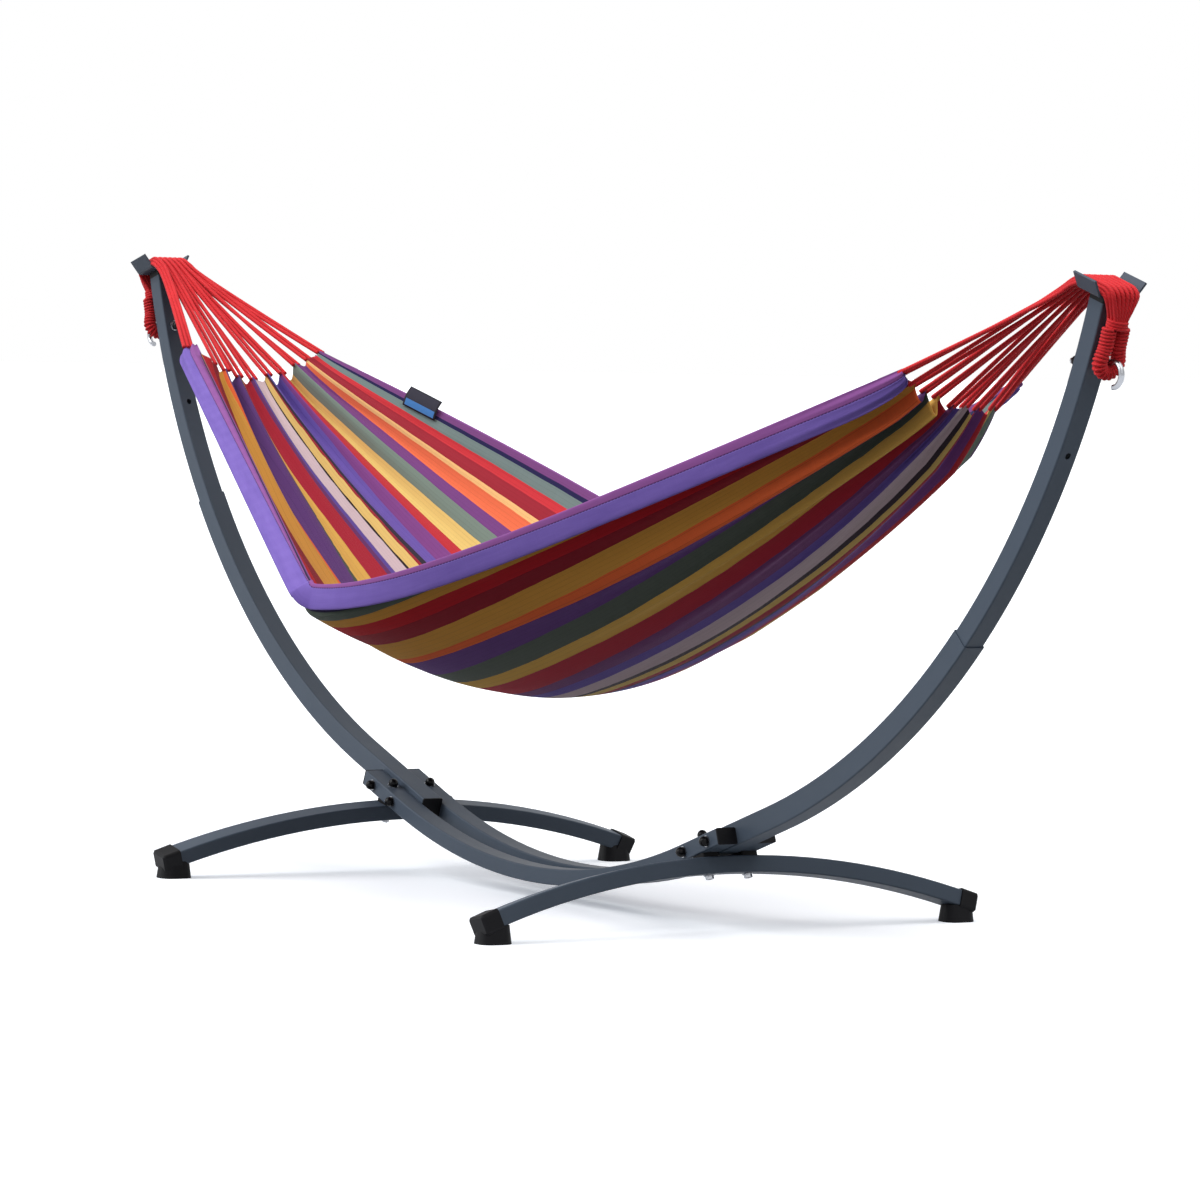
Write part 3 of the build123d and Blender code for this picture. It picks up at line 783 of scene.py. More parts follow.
class Finishes:
    """Materials of the hammock, by slot of the record."""

    def __init__(self) -> None:
        """Make every finish once."""
        finishes: Dict[Slot, Finish] = {
            Slot.TUBE_PAINT: BakedPaint("slate_paint", (73, 83, 96), 0.46),
            Slot.SADDLE_PAINT: BakedPaint("saddle_paint", (70, 78, 90), 0.5),
            Slot.BLACK_PLASTIC: Moulding("black_moulding", (13, 13, 16), 0.5),
            Slot.BLACK_GLOSS: Moulding("black_cap", (12, 12, 15), 0.26),
            Slot.BRIGHT_STEEL: Plating("bright_plate", (158, 160, 165), 0.24),
            Slot.DARK_STEEL: Plating("dark_plate", (96, 98, 102), 0.36),
            Slot.RED_CORD: LaidCord("red_cord"),
            Slot.STRIPED_CLOTH: StripedCotton("striped_cotton", STRIPES),
            Slot.VIOLET_HEM: RolledViolet("violet_hem"),
        }
        self.by_slot = {slot: finish.material() for slot, finish in finishes.items()}
        self.tag = RibbedTag("plain_tag").material()

    def dress(self, nodes: Dict[str, bpy.types.Object], slots: Dict[str, str]) -> None:
        """Give the carried-over parts their finish.

        Args:
            nodes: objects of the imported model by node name.
            slots: slot name by node name.
        """
        for name, obj in nodes.items():
            for place in obj.material_slots:
                place.material = self.by_slot[Slot(slots[name])]
        LOG.info("%d parts of the model are dressed", len(nodes))


@dataclass
class SurfaceGrid:
    """Grid of points that becomes a mesh.

    Attributes:
        points: array of rows, columns and X, Y, Z.
        stripe: map from zero to one over the grid.
        metric: map in metres over the grid.
        ring: join the last column to the first.
        caps: close the first and last row with a fan.
    """

    points: np.ndarray
    stripe: np.ndarray
    metric: np.ndarray
    ring: bool = False
    caps: bool = False

    def build(self, name: str, material: bpy.types.Material) -> bpy.types.Object:
        """Make the mesh: one four-sided face between neighbours of the grid.

        Args:
            name: name of the object.
            material: finish of the object.

        Returns:
            The new object.
        """
        rows, columns = self.points.shape[:2]
        index = np.arange(rows * columns).reshape(rows, columns)
        last = columns if self.ring else columns - 1
        here, right = index[:, :last], np.roll(index, -1, axis=1)[:, :last]
        faces = np.stack([here[:-1], right[:-1], right[1:], here[1:]], -1).reshape(-1, 4).tolist()
        vertices = self.points.reshape(-1, 3)
        if self.caps:
            first, second = len(vertices), len(vertices) + 1
            vertices = np.concatenate([vertices, self._ends(self.points)])
            start, stop = np.full(last, first), np.full(last, second)
            faces += np.stack([start, right[0], here[0]], -1).tolist()
            faces += np.stack([stop, here[-1], right[-1]], -1).tolist()
        mesh = bpy.data.meshes.new(name)
        mesh.from_pydata(vertices.tolist(), [], faces)
        mesh.polygons.foreach_set("use_smooth", np.ones(len(mesh.polygons), bool))
        self._write_maps(mesh)
        mesh.materials.append(material)
        mesh.update()
        LOG.info("%s: %d faces", name, len(faces))
        return put(name, mesh)

    def _ends(self, values: np.ndarray) -> np.ndarray:
        """Mean of the first and of the last row."""
        return np.stack([values[0].mean(0), values[-1].mean(0)])

    def _write_maps(self, mesh: bpy.types.Mesh) -> None:
        """Write both maps to the corners of the mesh.

        Args:
            mesh: mesh made from the grid.
        """
        corners = np.zeros(len(mesh.loops), np.int64)
        mesh.loops.foreach_get("vertex_index", corners)
        for name, values in (("stripe", self.stripe), ("metric", self.metric)):
            flat = values.reshape(-1, 2)
            if self.caps:
                flat = np.concatenate([flat, self._ends(values)])
            layer = mesh.uv_layers.new(name=name)
            layer.data.foreach_set("uv", flat[corners].astype(np.float32).ravel())


@dataclass(frozen=True)
class WeaveLay:
    """Where the weave lies across the cloth: drawn askew towards both ends, with parts lost in folds.

    Attributes:
        stations: shares of the half length.
        softening: shares of the half length over which a place is averaged.
        marks: rows of a share of the weave and its share of the width at each station.
    """

    stations: Tuple[float, ...] = (-0.9, -0.78, -0.52, 0.2, 0.7)
    softening: Tuple[float, ...] = (-0.12, -0.06, 0.0, 0.06, 0.12)
    marks: Tuple[Tuple[float, ...], ...] = (
        (-1.0, -1.0, -1.0, -1.0, -1.0, -1.02),
        (-0.905, -0.98, -0.97, -0.97, -0.905, -0.885),
        (-0.77, -0.66, -0.6, -0.74, -0.77, -0.775),
        (-0.667, -0.59, -0.505, -0.445, -0.667, -0.68),
        (-0.63, -0.57, -0.478, -0.427, -0.63, -0.605),
        (-0.525, -0.32, -0.235, -0.297, -0.525, -0.54),
        (-0.415, -0.312, -0.229, -0.29, -0.415, -0.435),
        (-0.353, -0.28, -0.2, -0.145, -0.353, -0.28),
        (-0.232, -0.15, -0.1, -0.032, -0.232, -0.21),
        (-0.16, -0.12, -0.06, -0.01, -0.16, -0.03),
        (-0.083, -0.1, -0.03, 0.005, -0.083, 0.03),
        (0.012, 0.028, 0.036, 0.072, 0.012, 0.15),
        (0.045, 0.035, 0.042, 0.078, 0.045, 0.18),
        (0.1, 0.078, 0.098, 0.141, 0.1, 0.21),
        (0.135, 0.08, 0.1, 0.143, 0.135, 0.25),
        (0.155, 0.095, 0.145, 0.193, 0.155, 0.27),
        (0.222, 0.285, 0.252, 0.235, 0.222, 0.32),
        (0.312, 0.305, 0.323, 0.323, 0.312, 0.39),
        (0.36, 0.395, 0.387, 0.377, 0.36, 0.43),
        (0.465, 0.46, 0.468, 0.475, 0.465, 0.53),
        (0.55, 0.535, 0.552, 0.55, 0.55, 0.605),
        (0.62, 0.667, 0.63, 0.62, 0.62, 0.67),
        (0.715, 0.695, 0.71, 0.71, 0.715, 0.76),
        (0.748, 0.73, 0.738, 0.745, 0.748, 0.79),
        (0.935, 0.923, 0.93, 0.935, 0.935, 0.94),
        (1.0, 1.0, 1.0, 1.0, 1.0, 1.0),
    )

    def share(self, u: np.ndarray, v: np.ndarray) -> np.ndarray:
        """Share of the weave: straight between marks, whose places run from station to station, averaged.

        Args:
            u: shares of the half length.
            v: shares of the width.

        Returns:
            Share from -1 to 1.
        """
        marks = np.array(self.marks)
        around = np.asarray(u)[..., None] + np.array(self.softening)
        at = [np.mean(np.interp(around, self.stations, row), -1) for row in marks[:, 1:]]
        steps = zip(np.diff(marks[:, 0]), at[:-1], at[1:])
        return marks[0, 0] + sum(rise * ramp(v, low, high - low) for rise, low, high in steps)


@dataclass
class HungCloth:
    """The striped cloth, hung as a trough between the two ends.

    Attributes:
        front: place of the front rim.
        rear: place of the rear rim.
        rear_swell: pairs of a share of the half length and the swell of the rear side there.
        front_swell: pairs of a share of the width and the swell of the front side in the middle.
        front_reach: share of the half length over which that swell fades.
        front_way: shares of that swell downwards and to the front.
        belly_height: height of the lowest point.
        belly_power: power of the rise from the middle to the ends.
        end_sag: depth of an end below its hems.
        least_sag: least depth of the trough.
        thickness: thickness of the cloth.
        cells: cells along and across.
        gathers: number of gathers between the pairs of cords.
        cord_reach: share of the width between the outermost pairs of cords.
        gather_drift: share of the width by which the gathers wander.
        pleat_depth: depth of the gathers at the ends.
        pleat_growth: pairs of a share of the width and the growth of the gathers there at the right end.
        pleat_lean: share of a gather by which its ridge hangs lower at the right end.
        lean_run: share of the width over which that lean sets in.
        right_lift: share of a gather by which all of them stand inwards at the right end.
        pleat_start: share of the half length where the gathers begin.
        uneven: pairs of the weight and the frequency of the uneven depth.
        plain_margin: width beside a hem without folds, and the width over which they set in.
        crease_depth: depth of the long creases.
        crease_start: share of the half length where they begin.
        crease_counts: number of long creases of each kind.
        crease_shift: turn of their waves on the left.
        crease_bend: height and frequency of their bend.
        scallop: depth of the bows between the cords at the ends.
        scallop_run: share of the half length over which the bows set in.
        weave: where the weave lies across the width.
        corner_draw: share of the weave drawn out from under the front hem in the middle.
        corner_reach: share of the half length over which that fades.
        corner_start: distance from the middle of the width where it begins, as a share.
        corner_run: share of the width over which it sets in.
        flat: width and length of the cut cloth.
    """

    front: RimLine = RimLine(
        0.532, 0.579, RimEnd(1.172, 0.118, 0.974, 1.0, 0.012), RimEnd(1.186, 0.130, 1.0, 1.0, 0.25)
    )
    rear: RimLine = RimLine(
        0.495, 0.540, RimEnd(1.150, 0.148, 0.982, 0.78, 0.1), RimEnd(1.150, 0.138, 0.988, 0.62, 0.1)
    )
    rear_swell: Pairs = (
        (-1.0, -0.008),
        (-0.12, -0.01),
        (0.0, -0.006),
        (0.12, 0.006),
        (0.3, 0.028),
        (0.5, 0.038),
        (0.7, 0.042),
        (0.9, 0.046),
        (1.0, 0.012),
    )
    front_swell: Pairs = (
        (-1.0, 0.0),
        (-0.92, 0.048),
        (-0.7, 0.018),
        (-0.5, 0.009),
        (-0.2, 0.0),
    )
    front_reach: float = 0.16
    front_way: Tuple[float, float] = (0.5, 0.87)
    belly_height: float = 0.371
    belly_power: float = 1.5
    end_sag: float = 0.05
    least_sag: float = 0.01
    thickness: float = 0.0016
    cells: Tuple[int, int] = (420, 230)
    gathers: float = 9.0
    cord_reach: float = 0.97
    gather_drift: float = 0.010
    pleat_depth: float = 0.025
    pleat_growth: Pairs = ((-0.35, 1.4), (-0.1, 0.7), (0.7, 0.7), (0.9, 1.0))
    pleat_lean: float = 0.25
    lean_run: float = 0.1
    right_lift: float = 0.2
    pleat_start: float = 0.25
    uneven: Pairs = ((0.35, 9.0), (0.2, 23.0))
    plain_margin: float = 0.03
    crease_depth: float = 0.008
    crease_start: float = 0.12
    crease_counts: Tuple[float, ...] = (3.3, 5.1, 8.3)
    crease_shift: Tuple[float, ...] = (1.9, 2.9, 3.9)
    crease_bend: Tuple[float, float] = (0.9, 2.2)
    scallop: float = 0.014
    scallop_run: float = 0.1
    weave: WeaveLay = WeaveLay()
    corner_draw: float = 0.07
    corner_reach: float = 0.3
    corner_start: float = 0.6
    corner_run: float = 0.3
    flat: Tuple[float, float] = (1.15, 2.6)

    def __post_init__(self) -> None:
        """Draw the phases of the creases once."""
        self._phases = np.random.default_rng(7).uniform(0.0, 2.0 * math.pi, 16)

    def edge(self, hem: Hem, u: np.ndarray) -> np.ndarray:
        """Points on a long rim at shares of the half length from -1 to 1."""
        line = self.front if hem is Hem.FRONT else self.rear
        return line.points(u) * np.array((1.0, hem.value, 1.0))

    def trough(self, u: np.ndarray, v: np.ndarray) -> np.ndarray:
        """Smooth trough: at each length, an arc through both hems and the bottom line, with two swells.

        Args:
            u: shares of the half length.
            v: shares of the width, from the front hem at -1 to the rear hem at 1.

        Returns:
            Array of points.
        """
        front, rear = self.edge(Hem.FRONT, u), self.edge(Hem.REAR, u)
        chord = (rear - front) * np.array((0.0, 1.0, 1.0))
        half = np.linalg.norm(chord, axis=-1) / 2
        way = unit(chord)
        down = np.stack([np.zeros_like(u), way[..., 2], -way[..., 1]], -1)
        ends = [np.where(u < 0, line.left.z, line.right.z) for line in (self.front, self.rear)]
        end_z = (ends[0] + ends[1]) / 2 - self.end_sag
        bottom = self.belly_height + (end_z - self.belly_height) * np.abs(u) ** self.belly_power
        sag = np.maximum((front[..., 2] + rear[..., 2]) / 2 - bottom, self.least_sag)
        radius = (half**2 + sag**2) / (2 * sag)
        turn = v * np.arctan2(half, radius - sag)
        across = way * (radius * np.sin(turn))[..., None]
        rear_swell = look_up(u, self.rear_swell) * np.sin(math.pi * np.clip(v, 0.0, 1.0))
        below = down * (radius * np.cos(turn) - radius + sag + rear_swell)[..., None]
        front_swell = look_up(v, self.front_swell) * np.exp(-((u / self.front_reach) ** 2))
        swell_way = down * self.front_way[0] - way * self.front_way[1]
        points = (front + rear) / 2 + across + below + swell_way * front_swell[..., None]
        points[..., 0] = front[..., 0] + (rear[..., 0] - front[..., 0]) * (v + 1) / 2
        return points

    def gather_count(self, v: np.ndarray) -> np.ndarray:
        """Running count of gathers from the front hem, whole where a pair of cords pulls."""
        return (v / self.cord_reach + 1.0) / 2 * self.gathers

    def folds(self, u: np.ndarray, v: np.ndarray) -> np.ndarray:
        """Depth of the folds: a cosine between the cords near the ends, and three long sine creases.

        Args:
            u: shares of the half length.
            v: shares of the width.

        Returns:
            Depth below the smooth trough.
        """
        near = ramp(np.abs(u), self.pleat_start, 1.0 - self.pleat_start)
        wide = np.linalg.norm(self.edge(Hem.REAR, u) - self.edge(Hem.FRONT, u), axis=-1) / 2
        margin = ramp((1.0 - np.abs(v)) * wide, self.plain_margin, self.plain_margin)
        drift = self.gather_drift * np.sin(5.0 * v + self._phases[0]) * (1.0 - near)
        count = self.gather_count(v + drift)
        lean = np.clip(v / self.lean_run, -1.0, 0.0) * self.pleat_lean * (u > 0)
        gather = raised_cosine(count + lean * raised_cosine(count)) - self.right_lift * (u > 0)
        waves = zip(self.uneven, self._phases[1:3])
        uneven = sum((weight * np.sin(often * v + start) for (weight, often), start in waves), 1.0)
        growth = np.where(u > 0, look_up(v, self.pleat_growth), 1.0)
        depth = self.pleat_depth * growth * near**1.5 * gather * uneven
        fade = ramp(np.abs(u), self.crease_start, 1.0 - self.crease_start) * (1.0 - near * 0.6)
        start = self._phases[4:7] + np.where(u[..., None] > 0, 0.0, np.array(self.crease_shift))
        bend = self.crease_bend[0] * np.sin(self.crease_bend[1] * u[..., None] + self._phases[8:11])
        long_waves = np.sin(math.pi * np.array(self.crease_counts) * v[..., None] + start + bend)
        creases = np.sum(long_waves / np.array((1.0, 2.0, 3.0)), -1)
        return (depth + self.crease_depth * fade * creases) * margin

    def surface(self, u: np.ndarray, v: np.ndarray) -> np.ndarray:
        """Folded cloth: the trough moved outwards by the folds, with bowed ends between the cords.

        Args:
            u: shares of the half length.
            v: shares of the width.

        Returns:
            Array of points.
        """
        step = 1e-3
        points = self.trough(u, v)
        across = self.trough(u, np.minimum(v + step, 1.0)) - self.trough(u, np.maximum(v - step, -1.0))
        along = self.trough(np.minimum(u + step, 1.0), v) - self.trough(np.maximum(u - step, -1.0), v)
        normal = unit(np.cross(across, along))
        outward = np.where(normal[..., 2:] > 0, -normal, normal)
        points = points + outward * self.folds(u, v)[..., None]
        bow = raised_cosine(self.gather_count(v))
        close = ramp(np.abs(u), 1.0 - self.scallop_run, self.scallop_run) ** 3
        points[..., 0] -= np.sign(u) * self.scallop * bow * close
        return points

    def weave_share(self, u: np.ndarray, v: np.ndarray) -> np.ndarray:
        """Share of the weave from -1 to 1, drawn out from under the front hem in the middle."""
        corner = np.exp(-((u / self.corner_reach) ** 2)) * ramp(-v, self.corner_start, self.corner_run)
        return self.weave.share(u, v) - self.corner_draw * corner

    def build(self, finishes: Finishes) -> bpy.types.Object:
        """Build the cloth and dress it.

        Args:
            finishes: materials.

        Returns:
            The cloth object.
        """
        part = 1
        rows = np.linspace(-1.0, 1.0, self.cells[0] // part + 1)
        columns = np.linspace(-1.0, 1.0, self.cells[1] // part + 1)
        u, v = np.meshgrid(rows, columns, indexing="ij")
        stripe = np.stack([(u + 1) / 2, (self.weave_share(u, v) + 1) / 2], -1)
        metric = np.stack([u * self.flat[1] / 2, v * self.flat[0] / 2], -1)
        grid = SurfaceGrid(self.surface(u, v), stripe, metric)
        obj = grid.build("striped_cloth", finishes.by_slot[Slot.STRIPED_CLOTH])
        thicken(obj, self.thickness)
        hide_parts("hammock_cloth")
        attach(obj, "hammock")
        return obj


@dataclass
class RolledHem:
    """Rolled hem along a long edge of the cloth.

    Attributes:
        cloth: cloth the hem is sewn to.
        hem: long edge it runs along.
        width: width of the band.
        thickness: thickness of the band.
        overhang: reach of the band over the rim.
        outside: distance of its middle from the cloth, outwards.
        hang: way the band hangs on the right half of the front.
        splay: way the band lies on the left half of the front.
        left_tip: share of the half length by which the front band runs past the cloth on the left.
        tip_width: share of the width left at the tips.
        tip_run: length over which a tip narrows on the left.
        right_run: length over which a tip narrows on the right.
        turn_place: share of the half length where the band begins to turn outwards, going left.
        turn_run: share of the half length over which it turns.
        squareness: power that squares the section, one for an ellipse.
        puckers: weight, frequency and start of the waves in its thickness.
        crimp_depth: depth of the small folds along the band at its ends.
        crimp_start: share of the half length where they begin.
        crimp_waves: frequency of the small folds across and along.
        cells: cells along and round.
    """

    cloth: HungCloth
    hem: Hem
    width: float = 0.047
    thickness: float = 0.0075
    overhang: float = 0.003
    outside: float = 0.0055
    hang: Point = (0.2, -0.25, -0.95)
    splay: Point = (-0.43, -0.81, -0.43)
    left_tip: float = 0.046
    tip_width: float = 0.5
    tip_run: float = 0.06
    right_run: float = 0.15
    turn_place: float = 0.006
    turn_run: float = 0.022
    squareness: float = 0.6
    puckers: Tuple[Point, ...] = ((0.10, 140.0, 0.0), (0.07, 61.0, 1.0))
    crimp_depth: float = 0.004
    crimp_start: float = 0.74
    crimp_waves: Tuple[float, float] = (7.5, 5.0)
    cells: Tuple[int, int] = (800, 28)

    def fall(self, u: np.ndarray, line: np.ndarray) -> np.ndarray:
        """Way the band hangs from the rim: down the cloth, and on the left half of the front turned outwards.

        Args:
            u: shares of the half length.
            line: points of the rim.

        Returns:
            Direction at each point.
        """
        down = unit(self.cloth.trough(u, np.full_like(u, self.hem.value * 0.96)) - line)
        if self.hem is Hem.REAR:
            return down
        turned = eased(ramp(-u, -self.turn_place, self.turn_run))[:, None]
        hung = unit(down + np.array(self.hang))
        return unit(hung * (1.0 - turned) + np.array(self.splay) * turned)

    def grid(self) -> SurfaceGrid:
        """Rounded flat section, a power of sine and cosine, carried along the rim with small puckers."""
        first = -1.0 - (self.left_tip if self.hem is Hem.FRONT else 0.0)
        u = np.linspace(first, 1.0, self.cells[0] + 1)
        line = self.cloth.edge(self.hem, u)
        ahead = unit(np.gradient(line, axis=0))
        fall = self.fall(u, line)
        inward = unit(fall - ahead * np.sum(fall * ahead, -1, keepdims=True))
        normal = np.cross(ahead, inward)
        away = normal * -np.sign(np.sum(normal * np.array((0.0, -self.hem.value, 0.6)), -1, keepdims=True))
        length = run_length(line)
        share = np.clip(np.minimum(length / self.tip_run, (length[-1] - length) / self.right_run), 0.0, 1.0)
        scale = self.tip_width + (1.0 - self.tip_width) * np.sqrt(1.0 - (1.0 - share) ** 2)
        turn = np.linspace(0.0, 2.0 * math.pi, self.cells[1] + 1)[:-1]
        circle = (np.cos(turn), np.sin(turn))
        wide, thick = (np.sign(wave) * np.abs(wave) ** self.squareness for wave in circle)
        waves = (weight * np.sin(length * often + start) for weight, often, start in self.puckers)
        pucker = sum(waves, 1.0)
        centre = line + inward * (self.width / 2 * scale - self.overhang)[:, None] + away * self.outside
        reach = self.width / 2 * wide[None, :] * scale[:, None]
        rise = self.thickness / 2 * thick[None, :] * (pucker * scale)[:, None]
        near = ramp(np.abs(u), self.crimp_start, 1.0 - self.crimp_start) ** 1.5
        waves = np.sin(self.crimp_waves[0] * wide[None, :] + self.crimp_waves[1] * u[:, None])
        crimp = self.crimp_depth * near[:, None] * waves
        points = centre[:, None] + inward[:, None] * reach[..., None] + normal[:, None] * rise[..., None]
        points = points + away[:, None] * crimp[..., None]
        along = np.broadcast_to(length[:, None], reach.shape)
        across = np.broadcast_to((0.5 + wide / 2)[None, :], reach.shape)
        stripe = np.stack([along / length[-1], across], -1)
        metric = np.stack([along, across * self.width], -1)
        return SurfaceGrid(points, stripe, metric, ring=True, caps=True)

    def build(self, finishes: Finishes) -> bpy.types.Object:
        """Build the hem and dress it.

        Args:
            finishes: materials.

        Returns:
            The hem object.
        """
        obj = self.grid().build(f"hem_roll_{self.hem.label}", finishes.by_slot[Slot.VIOLET_HEM])
        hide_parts(f"hem_{self.hem.label}")
        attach(obj, "hammock")
        return obj


@dataclass
class SewnTag:
    """Bare cloth tag sewn to the rear hem.

    Attributes:
        cloth: cloth the tag is sewn to.
        place: share of the half length where it sits.
        width: width of the tag.
        height: height of the tag.
        lift: gap between the tag and the middle of the hem.
        bow: height of its bow.
        drop: reach of its upper edge past the rim.
        thickness: thickness of the tag.
        cells: cells along and across.
    """

    cloth: HungCloth
    place: float = -0.755
    width: float = 0.082
    height: float = 0.041
    lift: float = 0.0055
    bow: float = 0.004
    drop: float = 0.018
    thickness: float = 0.0012
    cells: Tuple[int, int] = (16, 12)

    def build(self, finishes: Finishes) -> bpy.types.Object:
        """Build the tag: a small sheet over the hem, bowed by a half sine.

        Args:
            finishes: materials.

        Returns:
            The tag object.
        """
        reach = self.width / 2 / self.cloth.rear.left.x
        share, rise = (np.linspace(0.0, 1.0, count + 1) for count in self.cells)
        u = self.place + reach * (2.0 * share - 1.0)
        line = self.cloth.edge(Hem.REAR, u)
        inward = unit(self.cloth.trough(u, np.full_like(u, 0.97)) - line)
        across = unit(np.cross(np.gradient(line, axis=0), inward))
        normal = np.where(across[:, 2:] < 0, -across, across)
        bow = self.bow * np.sin(rise * math.pi) + self.lift
        up = rise * self.height - self.drop
        points = line[:, None] + inward[:, None] * up[None, :, None] + normal[:, None] * bow[None, :, None]
        stripe = np.stack(np.meshgrid(share, rise, indexing="ij"), -1)
        grid = SurfaceGrid(points, stripe, stripe * np.array((self.width, self.height)))
        obj = grid.build("plain_tag", finishes.tag)
        thicken(obj, self.thickness)
        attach(obj, "hammock")
        return obj


def read_route(name: str, points: Sequence[np.ndarray], step: float) -> np.ndarray:
    """Read a smooth curve through control points at even steps.

    Args:
        name: name of the route.
        points: control points from the first end to the last.
        step: distance between the points that are read.

    Returns:
        Points along the curve.
    """
    data = bpy.data.curves.new(name, "CURVE")
    data.dimensions = "3D"
    data.resolution_u = ROUTE_RESOLUTION
    spline = data.splines.new("NURBS")
    spline.points.add(len(points) - 1)
    for target, point in zip(spline.points, points):
        target.co = (*point, 1.0)
    spline.order_u = ROUTE_ORDER
    spline.use_endpoint_u = True
    curve = put(name, data)
    bpy.context.view_layer.update()
    mesh = bpy.data.meshes.new_from_object(curve)
    raw = np.zeros(len(mesh.vertices) * 3)
    mesh.vertices.foreach_get("co", raw)
    raw = raw.reshape(-1, 3)
    bpy.data.meshes.remove(mesh)
    bpy.data.objects.remove(curve)
    bpy.data.curves.remove(data)
    length = run_length(raw)
    even = np.linspace(0.0, length[-1], max(int(round(length[-1] / step)), LEAST_STEPS) + 1)
    return read_at(even, length, raw)


def cross_frames(path: np.ndarray, reference: np.ndarray) -> Tuple[np.ndarray, np.ndarray]:
    """Two cross directions of a path: the reference less its part along the path, and their product.

    Args:
        path: points of the path.
        reference: one direction, or one at each point, never along the path.

    Returns:
        First and second cross direction at each point.
    """
    ahead = unit(np.gradient(path, axis=0))
    lean = np.broadcast_to(reference, path.shape)
    first = unit(lean - ahead * np.sum(lean * ahead, -1, keepdims=True))
    return first, np.cross(ahead, first)


@dataclass(frozen=True)
class RopeSection:
    """Section of a laid rope.

    Attributes:
        radius: outer radius.
        cells: points round the rope.
        lobes: number of strands.
        depth: depth of the grooves as a share of the radius.
        pitch: length of one full turn of the strands.
    """

    radius: float
    cells: int = 12
    lobes: int = 3
    depth: float = 0.13
    pitch: float = 0.017

    def sweep(self, path: np.ndarray, reference: np.ndarray) -> SurfaceGrid:
        """Carry the section along a path; the radius is a cosine of the angle that turns with the length.

        Args:
            path: points of the path.
            reference: direction the angle is counted from.

        Returns:
            Closed tube with capped ends.
        """
        first, second = cross_frames(path, reference)
        length = run_length(path)
        turn = np.linspace(0.0, 2.0 * math.pi, self.cells + 1)[:-1]
        wave = np.cos(self.lobes * (turn[None, :] - 2.0 * math.pi * length[:, None] / self.pitch))
        reach = self.radius * (1.0 - self.depth / 2 + self.depth / 2 * wave)
        points = (
            path[:, None]
            + first[:, None] * (reach * np.cos(turn))[..., None]
            + second[:, None] * (reach * np.sin(turn))[..., None]
        )
        along = np.broadcast_to(length[:, None], reach.shape)
        around = np.broadcast_to(turn[None, :] * self.radius, reach.shape)
        metric = np.stack([along, around], -1)
        stripe = np.stack([along / length[-1], around / (2.0 * math.pi * self.radius)], -1)
        return SurfaceGrid(points, stripe, metric, ring=True, caps=True)


